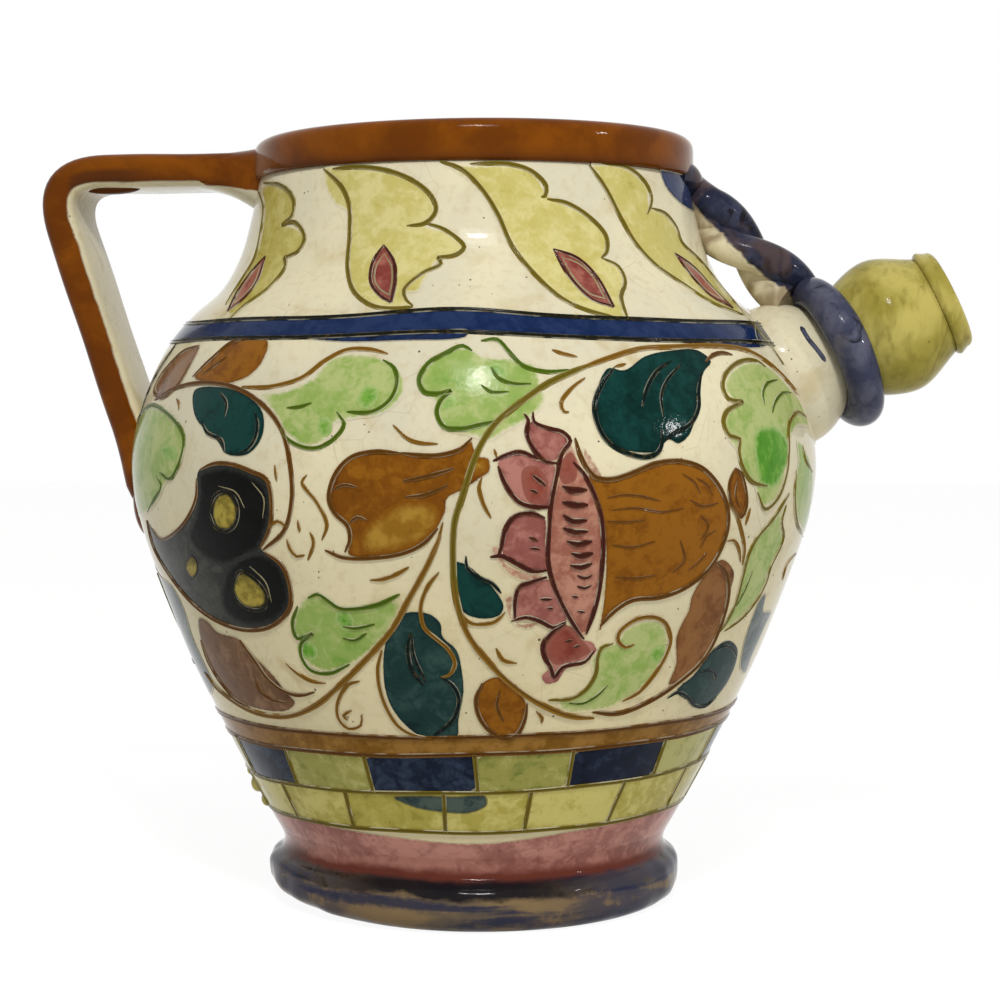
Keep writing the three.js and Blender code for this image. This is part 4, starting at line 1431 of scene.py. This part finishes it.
bellyTouches = [  # a second brush over a patch
    ("soot", [(200, 473), (222, 465), (249, 472), (266, 483), (271, 506), (267, 532), (260, 549),
        (244, 560), (224, 566), (202, 556), (188, 536), (196, 512), (199, 492)]),
    ("soot", [(226, 570), (244, 554), (264, 553), (280, 564), (290, 590), (286, 612), (266, 625),
        (240, 624), (222, 606)]),
    ("gold", [(362, 532), (398, 503), (436, 505), (440, 520), (422, 543), (392, 553), (362, 552)]),
    ("gold", [(470, 446), (478, 457), (488, 460), (487, 471), (474, 476), (463, 466)]),
    ("claret", [(563, 459), (571, 452), (577, 466), (575, 480), (564, 484), (559, 475)]),
    ("claret", [(567, 625), (551, 636), (546, 650), (555, 664), (572, 660), (590, 651), (582, 640)]),
    ("claret", [(523, 469), (536, 466), (547, 480), (545, 502), (530, 502), (523, 490)]),
    ("moss", [(756, 430), (774, 426), (788, 444), (785, 468), (773, 488), (762, 486), (755, 458)]),
]
spills = [  # glaze that ran past its line
    ("ranBlue", [(393, 797), (420, 795), (455, 796), (486, 796), (487, 805), (470, 813), (440, 812),
        (413, 807)]),
    ("cobalt", [(300, 338), (350, 335), (412, 332), (470, 331), (466, 337), (400, 341), (340, 342)]),
    ("cobalt", [(690, 341), (720, 342), (764, 341), (766, 346), (730, 348), (700, 347)]),
    ("brickBlue", [(756, 320), (770, 319), (779, 324), (786, 329), (780, 333), (782, 340), (772, 341),
        (758, 341)]),
    ("indigo", [(660, 166), (668, 160), (688, 166), (702, 178), (708, 206), (700, 214), (690, 210),
        (676, 200), (664, 184)]),
]
for glaze, outline in spills:
    addPatch(glaze, outline, 1, ornament["spillTone"])
for glaze, outline in bellyTouches:
    addPatch(glaze, outline, 1, 0.0, ornament["touchStep"])
pansyEyes = [
    [(213, 512), (217, 497), (227, 493), (236, 505), (236, 522), (228, 530), (218, 527)],
    [(192, 555), (198, 564), (197, 574), (193, 578), (187, 570), (187, 561)],
    [(234, 588), (240, 572), (252, 577), (266, 594), (264, 606), (250, 608), (240, 601)],
]
for outline in pansyEyes:
    addPatch("amberEye", outline, 2, 0.0, ornament["touchStep"])
mossSpots = [  # centre and radius
    ((368, 397), 11), ((325, 427), 9), ((170, 453), 8), ((657, 654), 8),
    ((497, 372), 9), ((308, 650), 10), ((345, 620), 10), ((448, 402), 8),
]
for centre, radius in mossSpots:
    addSpot("moss", centre, radius)

# Neck: leaves that slant round it, each with a wine almond
neckLeaves = [
    [(262, 186), (280, 185), (293, 196), (294, 214), (286, 223), (301, 229), (305, 239), (297, 253),
        (287, 259), (284, 270), (266, 290), (247, 304), (230, 318), (227, 304), (245, 276), (257, 254),
        (263, 228), (265, 208)],
    [(325, 168), (350, 167), (385, 170), (415, 181), (433, 198), (434, 216), (425, 224), (446, 231),
        (464, 247), (456, 256), (440, 260), (428, 276), (418, 292), (406, 294), (412, 307), (388, 308),
        (362, 300), (350, 285), (348, 255), (350, 215), (335, 204), (325, 184)],
    [(446, 162), (470, 165), (512, 165), (536, 175), (547, 192), (560, 201), (582, 212), (603, 231),
        (609, 246), (604, 257), (619, 267), (625, 284), (621, 298), (626, 318), (610, 317), (585, 310),
        (552, 291), (526, 265), (508, 238), (495, 210), (478, 186), (458, 174)],
    [(591, 163), (612, 163), (634, 173), (648, 189), (650, 206), (664, 213), (676, 229), (682, 243),
        (700, 261), (722, 288), (741, 314), (715, 304), (685, 284), (652, 263), (632, 239), (615, 206),
        (601, 181)],
]
# the first leaf, on the neck's left, is fuller and darker as painted shade
neckTones = (0.2, 0.0, 0.02, 0.06)
for outline, tone in zip(neckLeaves, neckTones):
    addPatch("lime", outline, 0, tone)
neckAlmonds = [  # a tip is a point given twice
    [(266, 256), (266, 256), (253, 271), (238, 292), (229, 311), (229, 311), (244, 299), (258, 281)],
    [(384, 245), (384, 245), (373, 263), (371, 283), (380, 296), (391, 303), (391, 303), (395, 284),
        (394, 262)],
    [(553, 249), (553, 249), (578, 259), (597, 278), (613, 307), (613, 307), (592, 300), (570, 278)],
    [(674, 253), (674, 253), (694, 268), (714, 290), (732, 308), (732, 308), (710, 296), (690, 275)],
]
almond = dict(tones=(-0.12, 0.06, 0.02, -0.1), edge=1.2, scrape=0.5, scrapeAt=0.72)
for outline, tone in zip(neckAlmonds, almond["tones"]):
    addPatch("almond", outline, 1, tone, ornament["almondStep"])
    addStroke("maroon", almond["edge"], outline[1:] + outline[:1])
    middle = sum((Vector(point) for point in outline), Vector((0, 0))) / len(outline)
    paleLine = [tuple(middle.lerp(Vector(point), almond["scrapeAt"])) for point in outline]
    addStroke("bone", almond["scrape"], paleLine[1:] + paleLine[:1])

# Strokes: ink, width in millimetres, then one or more lines of picture points
strokes = [
    ("vine", 1.7, [(812, 424), (801, 400), (784, 378), (765, 361), (744, 350), (710, 346), (675, 347),
        (640, 349), (612, 357), (580, 369)]),
    ("olive", 2.0, [(592, 364), (570, 373), (547, 384), (520, 403), (497, 422), (482, 443), (472, 466),
        (462, 498), (455, 520), (453, 560), (456, 598), (463, 622)]),
    ("vine", 1.9, [(454, 580), (458, 605), (467, 632), (487, 660), (511, 684), (537, 702), (567, 715),
        (594, 718)]),
    ("umber", 1.7, [(716, 562), (725, 572), (728, 590), (722, 619), (704, 657), (674, 685), (645, 703),
        (618, 713), (592, 712)]),
    ("vine", 1.8, [(441, 535), (427, 566), (410, 597), (393, 628), (372, 653), (342, 683), (315, 706),
        (287, 716), (253, 711), (220, 690), (205, 672)]),
    ("umber", 1.4, [(155, 400), (177, 388), (203, 383), (233, 387), (263, 405), (282, 430), (290, 463),
        (292, 500), (284, 531), (263, 550)]),
    ("vine", 1.4, [(242, 387), (270, 387), (302, 378), (325, 361), (348, 350), (372, 350), (388, 354)]),
    ("moss", 1.4, [(481, 341), (497, 340), (509, 352), (523, 366), (547, 372), (570, 370)]),
    ("moss", 1.6, [(472, 351), (463, 346), (445, 354), (428, 364), (419, 380), (424, 392), (437, 394),
        (451, 391), (451, 391), (440, 402), (437, 414), (444, 427), (462, 429), (480, 425), (497, 421)]),
    ("moss", 1.3, [(491, 367), (498, 378), (514, 384), (531, 384)]),
    ("moss", 1.1, [(481, 385), (491, 392), (509, 392)]),
    ("vine", 1.2, [(552, 350), (563, 354), (577, 357)], [(585, 378), (573, 387), (561, 403), (564, 412),
        (569, 412)]),
    ("vine", 1.1, [(393, 425), (408, 439), (420, 443), (438, 444)]),
    ("moss", 1.4, [(383, 360), (394, 368), (397, 383), (390, 400), (372, 412), (347, 412)]),
    ("moss", 1.3, [(337, 412), (344, 424), (335, 438), (317, 448), (300, 446), (287, 438), (281, 428)]),
    ("moss", 1.1, [(287, 408), (300, 407), (312, 403)]),
    ("tealInk", 1.3, [(255, 412), (258, 424), (255, 440), (246, 451), (237, 455)]),
    ("tealInk", 1.2, [(202, 421), (208, 433), (222, 440), (225, 452)]),
    ("tealInk", 1.1, [(220, 392), (227, 403), (225, 417)]),
    ("umber", 1.3, [(200, 346), (185, 351), (170, 365), (160, 378), (155, 392), (162, 398), (178, 386),
        (192, 362)]),
    ("umber", 1.2, [(193, 377), (213, 358), (233, 342), (250, 339)]),
    ("umber", 1.0, [(203, 375), (215, 366), (227, 357)]),
    ("moss", 1.3, [(137, 420), (145, 410), (153, 405), (173, 418), (184, 436), (181, 460), (170, 479),
        (160, 472)]),
    ("moss", 1.1, [(157, 475), (162, 487), (155, 499), (148, 512)]),
    ("umber", 1.3, [(200, 470), (213, 464), (230, 464), (250, 471), (267, 480), (272, 505), (269, 531),
        (260, 548)]),
    ("umber", 1.4, [(265, 552), (282, 565), (291, 590), (289, 610), (272, 626), (248, 630), (220, 622),
        (196, 606), (172, 578), (154, 547), (147, 520)]),
    ("umber", 1.1, [(197, 478), (196, 500), (181, 527), (162, 539), (152, 528)]),
    ("soot", 1.3, [(233, 588), (240, 571), (252, 576), (267, 594), (265, 608), (250, 609), (239, 601),
        (233, 588)], [(210, 512), (216, 495), (228, 491), (238, 505), (236, 524), (227, 531), (216, 527),
        (210, 512)]),
    ("bone", 0.35, [(219, 486), (236, 492), (245, 508)], [(252, 482), (264, 498), (263, 518)], [(250, 566),
        (266, 582), (272, 602)]),
    ("vine", 1.1, [(307, 475), (302, 482), (317, 502), (327, 525), (322, 540)]),
    ("vine", 1.0, [(275, 465), (277, 481)], [(298, 520), (300, 532)]),
    ("vine", 1.1, [(287, 539), (290, 548), (297, 556), (305, 555)], [(310, 532), (314, 542), (308, 560)]),
    ("vine", 1.0, [(288, 528), (278, 521), (268, 528)]),
    ("umber", 1.4, [(400, 453), (427, 456), (446, 454), (461, 449), (472, 438)], [(400, 453), (372, 452),
        (352, 457), (336, 473), (329, 498), (335, 513), (348, 526), (350, 540), (345, 552)]),
    ("umber", 1.3, [(403, 481), (425, 477), (446, 471), (454, 468)]),
    ("umber", 1.2, [(405, 497), (424, 495), (440, 489), (448, 485)]),
    ("umber", 1.3, [(325, 550), (342, 557), (372, 558), (404, 553), (424, 543), (438, 528)]),
    ("umber", 1.0, [(357, 487), (343, 485), (333, 490)], [(367, 520), (357, 517), (350, 523)]),
    ("vine", 1.3, [(482, 477), (479, 487), (483, 503), (491, 518)]),
    ("vine", 1.0, [(443, 522), (438, 540), (428, 560)], [(494, 449), (497, 458)]),
    ("maroon", 1.5, [(524, 414), (528, 420), (527, 436), (536, 453), (546, 462), (557, 463)]),
    ("maroon", 1.4, [(533, 412), (534, 422), (550, 429), (562, 432), (570, 441), (562, 453), (557, 474),
        (551, 505), (549, 530), (548, 560), (553, 583), (564, 608), (577, 630), (584, 639)]),
    ("maroon", 1.5, [(493, 461), (507, 455), (520, 452), (538, 459)], [(498, 466), (506, 486), (519, 502),
        (535, 507), (551, 507)]),
    ("maroon", 1.3, [(532, 475), (546, 486)]),
    ("maroon", 1.2, [(530, 490), (538, 493)]),
    ("maroon", 1.5, [(545, 518), (530, 513), (515, 516), (505, 530), (501, 548), (498, 556)], [(490, 557),
        (502, 556), (516, 563), (533, 571), (548, 570)]),
    ("maroon", 1.1, [(529, 537), (538, 541)], [(530, 548), (540, 549)]),
    ("maroon", 1.5, [(547, 577), (530, 582), (519, 587), (515, 600), (515, 620)], [(511, 621), (525, 617),
        (540, 621), (553, 627), (566, 621)]),
    ("maroon", 1.2, [(540, 599), (552, 599)]),
    ("maroon", 1.1, [(547, 608), (553, 608)]),
    ("maroon", 1.5, [(566, 623), (552, 632), (543, 645), (545, 658), (550, 666), (554, 677), (562, 667),
        (585, 661), (594, 650)]),
    ("maroon", 1.1, [(565, 641), (573, 640)], [(573, 647), (580, 645)]),
    ("maroon", 1.5, [(573, 462), (583, 473), (592, 490), (600, 512), (603, 540), (602, 565), (597, 600),
        (586, 634)]),
    ("umber", 1.5, [(575, 438), (580, 455), (588, 470), (597, 478), (612, 479), (632, 473), (654, 464),
        (677, 461), (700, 467), (715, 481), (725, 500), (728, 520), (722, 545), (707, 570), (684, 588),
        (660, 597), (632, 600), (614, 611), (600, 626)]),
    ("maroon", 2.0, [(562, 486), (570, 490), (587, 490)], [(562, 502), (575, 505), (588, 505)], [(563, 515),
        (572, 521), (587, 520)], [(563, 528), (575, 532), (588, 531)], [(567, 541), (577, 544), (592, 541)],
        [(571, 553), (580, 556), (593, 553)], [(570, 565), (580, 567), (592, 563)]),
    ("maroon", 1.1, [(577, 575), (584, 578), (592, 575)], [(577, 586), (584, 588), (591, 585)]),
    ("maroon", 1.0, [(572, 596), (578, 597)], [(577, 611), (585, 612)]),
    ("russet", 0.8, [(607, 498), (622, 495), (640, 496), (660, 501)], [(607, 521), (625, 522), (645, 520)],
        [(612, 545), (632, 547), (655, 541)], [(615, 577), (635, 578), (655, 575)], [(690, 500), (702, 506),
        (718, 503)], [(700, 515), (708, 525), (700, 540)], [(680, 540), (684, 560), (672, 572)]),
    ("russet", 0.7, [(612, 510), (636, 508), (662, 512), (684, 508)], [(696, 478), (706, 484), (712, 494)],
        [(706, 552), (698, 562), (688, 570)], [(716, 530), (706, 536), (700, 548)], [(682, 474), (694, 482),
        (700, 494)]),
    ("vine", 1.3, [(728, 503), (736, 515), (742, 535), (744, 550), (742, 565)]),
    ("vine", 1.1, [(727, 541), (733, 540), (738, 547), (740, 562)]),
    ("umber", 1.1, [(735, 468), (730, 480), (729, 495), (733, 508), (741, 517), (746, 507), (745, 488),
        (740, 472), (735, 468)]),
    ("umber", 0.8, [(737, 480), (735, 495), (739, 508)]),
    ("tealInk", 1.5, [(614, 368), (602, 384), (595, 402), (596, 420), (606, 440), (624, 452), (645, 457),
        (657, 453), (662, 441), (661, 430)]),
    ("tealInk", 1.4, [(701, 373), (698, 390), (698, 408), (690, 424), (672, 434), (664, 440)], [(671, 361),
        (656, 372), (646, 390), (642, 407)]),
    ("tealInk", 1.1, [(681, 364), (667, 380), (661, 395), (663, 417)]),
    ("umber", 1.4, [(705, 362), (713, 355), (722, 353), (732, 355)]),
    ("vine", 1.0, [(614, 367), (626, 364)]),
    ("olive", 1.5, [(765, 367), (756, 361), (742, 361), (728, 370), (722, 384), (728, 399), (742, 402),
        (742, 402), (727, 411), (723, 422), (729, 436), (739, 439), (738, 450), (742, 467), (752, 482),
        (767, 486)]),
    ("olive", 1.4, [(807, 418), (797, 412), (789, 422), (788, 450), (786, 472), (777, 498), (764, 509),
        (757, 492)]),
    ("moss", 1.2, [(777, 380), (767, 383), (762, 393), (764, 405)], [(791, 393), (782, 393), (774, 403),
        (772, 413)]),
    ("olive", 1.2, [(789, 493), (773, 518), (757, 537), (748, 555), (742, 577), (736, 600), (726, 622),
        (718, 633)], [(786, 505), (781, 522), (783, 537), (770, 567), (765, 583), (754, 603), (740, 619),
        (724, 631)]),
    ("moss", 0.9, [(752, 570), (744, 590), (736, 606)]),
    ("vine", 1.0, [(750, 508), (745, 525)]),
    ("olive", 1.2, [(796, 470), (794, 497), (797, 525), (803, 537)]),
    ("olive", 1.0, [(802, 445), (805, 460), (812, 472)]),
    ("vine", 1.0, [(796, 553), (787, 563), (782, 580)]),
    ("tealInk", 1.2, [(713, 650), (725, 645), (733, 650), (736, 657)], [(700, 672), (710, 670), (715, 676),
        (713, 681)]),
    ("tealInk", 1.3, [(667, 698), (678, 692), (686, 696), (694, 705), (704, 706), (716, 697)]),
    ("vine", 1.5, [(634, 644), (625, 647), (618, 641), (618, 633), (628, 623), (642, 617), (655, 617),
        (665, 623), (670, 638), (666, 653), (654, 674), (638, 692), (622, 701)]),
    ("olive", 1.3, [(613, 643), (601, 648), (597, 658), (596, 672), (587, 688), (572, 698), (548, 700)]),
    ("moss", 1.1, [(607, 685), (597, 695), (582, 703), (569, 703)]),
    ("vine", 1.3, [(439, 572), (428, 586), (421, 606), (424, 627), (437, 639), (449, 650), (455, 664),
        (449, 675), (441, 677)]),
    ("tealInk", 1.4, [(441, 677), (452, 684), (459, 698), (455, 716), (444, 728), (434, 735)], [(411, 632),
        (408, 650), (413, 672), (424, 685)]),
    ("tealInk", 1.1, [(412, 635), (414, 655), (426, 682)]),
    ("vine", 1.3, [(382, 650), (378, 670), (383, 698), (398, 725), (415, 735), (432, 738)]),
    ("tealInk", 1.3, [(466, 556), (467, 567), (478, 577), (492, 583), (501, 593)]),
    ("vine", 1.2, [(461, 613), (469, 622), (482, 624), (496, 621), (505, 612)]),
    ("umber", 1.4, [(482, 683), (476, 700), (479, 716), (489, 730), (504, 738), (517, 734), (525, 718),
        (527, 703)]),
    ("umber", 0.9, [(500, 690), (497, 706), (504, 722)]),
    ("vine", 1.2, [(496, 648), (503, 660), (517, 663)]),
    ("vine", 1.1, [(536, 711), (542, 718), (541, 723)]),
    ("vine", 1.3, [(370, 580), (383, 579), (397, 574), (409, 567)]),
    ("moss", 1.5, [(308, 598), (318, 594), (328, 600), (340, 608), (360, 608), (380, 604), (400, 594)]),
    ("moss", 1.4, [(298, 606), (293, 622), (298, 638), (313, 633), (313, 633), (302, 643), (302, 656),
        (312, 670), (330, 673), (350, 664)]),
    ("moss", 1.2, [(343, 626), (355, 628), (375, 624)]),
    ("moss", 1.1, [(343, 638), (355, 640), (367, 633)]),
    ("vine", 1.2, [(360, 681), (348, 685), (338, 702), (339, 718), (349, 728), (361, 725), (362, 714)]),
    ("vine", 1.3, [(352, 710), (344, 715), (348, 720)], [(286, 663), (298, 673), (312, 681), (326, 683)]),
    ("umber", 1.4, [(240, 640), (254, 658), (268, 678), (283, 690), (300, 695), (315, 692)]),
    ("umber", 1.3, [(201, 640), (209, 662), (221, 682), (236, 699), (250, 707)]),
    ("umber", 1.1, [(255, 677), (260, 690), (272, 699), (287, 702)]),
    ("soot", 1.1, [(177, 343), (152, 384), (138, 424)]),
    ("vine", 1.0, [(177, 399), (180, 405), (179, 410)]),
    ("olive", 0.7, [(747, 318), (774, 351), (796, 387), (815, 436)]),
    ("olive", 1.4, [(257, 187), (264, 205), (262, 228), (255, 258), (242, 280), (226, 305)], [(264, 183),
        (281, 185), (293, 197), (293, 215), (283, 225), (283, 225), (295, 222), (305, 236), (299, 251),
        (285, 258), (285, 258), (286, 266), (270, 287), (247, 304), (230, 319)]),
    ("olive", 1.5, [(324, 169), (340, 184), (349, 203), (350, 235), (348, 270), (354, 292), (372, 306),
        (392, 309), (413, 307)], [(333, 169), (358, 167), (385, 170), (412, 180), (431, 196), (436, 211),
        (426, 223), (407, 226)]),
    ("olive", 1.4, [(426, 223), (445, 230), (464, 247), (456, 255), (438, 258), (438, 258), (441, 264),
        (422, 274), (404, 291), (406, 300), (413, 306)]),
    ("olive", 1.5, [(440, 161), (461, 169), (480, 187), (497, 213), (512, 246), (534, 274), (562, 299),
        (588, 311), (613, 317)], [(470, 164), (508, 164), (531, 171), (546, 186), (545, 196), (541, 197)],
        [(547, 199), (566, 203), (590, 218), (606, 237), (606, 253), (601, 258)]),
    ("olive", 1.3, [(601, 258), (618, 267), (625, 283), (621, 297), (628, 320)]),
    ("olive", 1.5, [(589, 165), (605, 188), (620, 217), (635, 243), (655, 265), (684, 285), (714, 304),
        (743, 315)], [(602, 162), (626, 167), (645, 183), (651, 200), (647, 214)]),
    ("olive", 1.4, [(650, 208), (664, 213), (676, 228), (681, 242), (700, 261), (722, 288), (745, 316)]),
]
for ink, width, *paths in strokes:
    for pixels in paths:
        addStroke(ink, width, pixels)

# A sprig under the handle: one half is drawn right of the axis, and its mirror image on the back is the other
sprig = dict(
    turn=-90, row=640,  # where the axis is laid, in degrees, and the picture row that is read for it
    patches=[  # a tip is a point given twice
        ("leafGreen", [(480, 672), (498, 642), (524, 620), (560, 600), (560, 600), (552, 634), (530, 660),
            (502, 674)]),
        ("teal", [(478, 612), (484, 588), (500, 566), (520, 552), (520, 552), (516, 580), (502, 602),
            (488, 616)]),
        ("taupe", [(480, 718), (502, 702), (532, 692), (562, 692), (562, 692), (540, 708), (512, 720),
            (492, 722)]),
    ],
    strokes=[
        ("vine", 1.8, [(474, 722), (477, 690), (475, 650), (478, 610), (474, 560)]),
        ("moss", 1.4, [(478, 674), (498, 642), (524, 620), (562, 598), (562, 598), (552, 636), (530, 661),
            (500, 675)]),
        ("moss", 1.1, [(494, 662), (514, 644), (536, 626)]),
        ("tealInk", 1.3, [(478, 612), (484, 588), (500, 566), (521, 551), (521, 551), (516, 580),
            (502, 602), (486, 617)]),
        ("umber", 1.3, [(478, 718), (502, 702), (532, 692), (564, 692)]),
    ],
)
shift = math.radians(sprig["turn"]) - onBody((camera["axisPixel"][0], sprig["row"]))[0]
for glaze, outline in sprig["patches"]:
    addPatch(glaze, outline, shift=shift)
for ink, width, pixels in sprig["strokes"]:
    addStroke(ink, width, pixels, shift)
print("ornament drawn:", len(bellyPatches) + len(neckLeaves), "patches")

drips = dict(  # beads of glaze beside the bricks: picture point and size
    spots=[((256, 783), 2.4), ((264, 799), 2.0), ((246, 770), 1.5)],
    sink=-0.9, shares=(1, 2, 1.2), edge=3.0, glaze="brickYellow",
)
for i, (pixel, size) in enumerate(drips["spots"]):
    spot = bodySpot(*onBody(pixel), drips["sink"])[0]
    bead = eggPiece("glaze_drip_" + str(i), spot, [size * share for share in drips["shares"]], drips["glaze"])
    keepValues(bead.data, "edge", "FLOAT", [drips["edge"]] * len(bead.data.vertices))
    settle(bead, "olive_glaze")

slotGlazes = dict(  # every other painting takes amber_glaze
    indigo_glaze=("cobalt", "brickBlue"),
    slate_glaze=("teal", "petrol", "slate", "soot"),
    olive_glaze=("leafGreen", "moss", "lime", "brickYellow", "brickGreen"),
)
sheetSlots = {glaze: slot for slot, glazes in slotGlazes.items() for glaze in glazes}
for glaze, sheet in sheets.items():
    piece = newPiece(glaze + "_painting", sheet["spots"], faces=sheet["faces"])
    keepValues(piece.data, "edge", "FLOAT", sheet["edge"])
    keepValues(piece.data, "tone", "FLOAT", sheet["tone"])
    piece.data.materials.append(finishes[glaze])
    piece.data.shade_smooth()
    settle(piece, sheetSlots.get(glaze, "amber_glaze"))

lines = newPiece("incised_lines", strokeBook["spots"], strokeBook["edges"])
keepValues(lines.data, "surfaceNormal", "FLOAT_VECTOR", strokeBook["normals"])
keepValues(lines.data, "halfWidth", "FLOAT", strokeBook["halfWidths"])
keepValues(lines.data, "ink", "FLOAT_COLOR", strokeBook["inks"])
grow(lines, scratching, {"Burr": ornament["burr"], "Tuck": ornament["tuck"], "Glaze": finishes["ink"]})
settle(lines, "amber_glaze")
print("glaze sheets:", len(sheets), "line faces:", len(lines.data.polygons))


# Studio: pale floor, white surroundings, soft key from the front and a window to the right
studio = dict(
    floorHalf=3.0, floorShade=0.86, floorWhite=1.1, whiteShare=0.85, surround=0.38, target=(0, 0, 0.12),
)
lamps = dict(  # degrees round from the front and up, metres and watts; tall is a share of the size
    keySoftbox=dict(azimuth=8, elevation=43, distance=1.3, size=0.34, tall=0.7, power=5.0),
    keyCore=dict(azimuth=8, elevation=43, distance=1.28, size=0.116, tall=0.7, power=4.8),
    sideWindow=dict(azimuth=73, elevation=19, distance=1.1, size=0.064, tall=0.6, power=1.6),
)


def directRays(recipe):  # 1 for camera, mirrored and transmitted rays, 0 for the rest
    rays = recipe.tree.nodes.new("ShaderNodeLightPath")
    seen, mirrored, sent = (
        Flow(recipe, rays.outputs[kind]) for kind in ("Is Camera Ray", "Is Glossy Ray", "Is Transmission Ray")
    )
    direct = seen + mirrored + sent
    return direct.math("MINIMUM", direct, 1.0)


floorMaterial, floorRecipe = newFinish("paleFloor")
paint = floorRecipe.node("ShaderNodeBsdfDiffuse", sockets={"Color": (studio["floorShade"],) * 3 + (1,)})
white = floorRecipe.node("ShaderNodeEmission", sockets={
    "Color": (1, 1, 1, 1), "Strength": studio["floorWhite"],
})
whiteShare = directRays(floorRecipe) * studio["whiteShare"]
floorRecipe.node("ShaderNodeOutputMaterial", sockets={
    "Surface": floorRecipe.node("ShaderNodeMixShader", sockets={0: whiteShare, 1: paint, 2: white}),
})
half = studio["floorHalf"] / millimetre
floorCorners = [(-half, -half, 0), (half, -half, 0), (half, half, 0), (-half, half, 0)]
floor = newPiece("floor", floorCorners, faces=[(0, 1, 2, 3)])
floor.data.materials.append(floorMaterial)

world = bpy.data.worlds.new("studioSurround")
bpy.context.scene.world = world
world.use_nodes = True
world.node_tree.nodes.clear()
air = Recipe(world.node_tree)
dim = air.node("ShaderNodeBackground", sockets={"Color": (1, 0.98, 0.94, 1), "Strength": studio["surround"]})
bright = air.node("ShaderNodeBackground", sockets={"Color": (1, 1, 1, 1), "Strength": 1.0})
air.node("ShaderNodeOutputWorld", sockets={
    "Surface": air.node("ShaderNodeMixShader", sockets={0: directRays(air), 1: dim, 2: bright}),
})

for name, lamp in lamps.items():
    light = bpy.data.lights.new(name, "AREA")
    light.shape = "RECTANGLE"
    light.size = lamp["size"]
    light.size_y = lamp["size"] * lamp["tall"]
    light.energy = lamp["power"]
    turn, rise = math.radians(lamp["azimuth"]), math.radians(lamp["elevation"])
    way = Vector((math.sin(turn) * math.cos(rise), -math.cos(turn) * math.cos(rise), math.sin(rise)))
    holder = bpy.data.objects.new(name, light)
    holder.location = Vector(studio["target"]) + way * lamp["distance"]
    holder.rotation_euler = (-way).to_track_quat("-Z", "Y").to_euler()
    bpy.context.scene.collection.objects.link(holder)

cameraData = bpy.data.cameras.new("photoCamera")
cameraData.sensor_width = camera["sensor"]
cameraData.lens = camera["focalPixels"] / camera["imageSize"] * camera["sensor"]
cameraData.shift_x = 0.5 - camera["axisPixel"][0] / camera["imageSize"]
cameraData.shift_y = camera["axisPixel"][1] / camera["imageSize"] - 0.5
cameraData.clip_start = camera["nearClip"]
photoCamera = bpy.data.objects.new("photoCamera", cameraData)
photoCamera.location = eye * millimetre
photoCamera.rotation_euler = (math.radians(90), 0, viewTurn)
bpy.context.scene.collection.objects.link(photoCamera)
bpy.context.scene.camera = photoCamera
bpy.context.scene.view_settings.view_transform = "Standard"
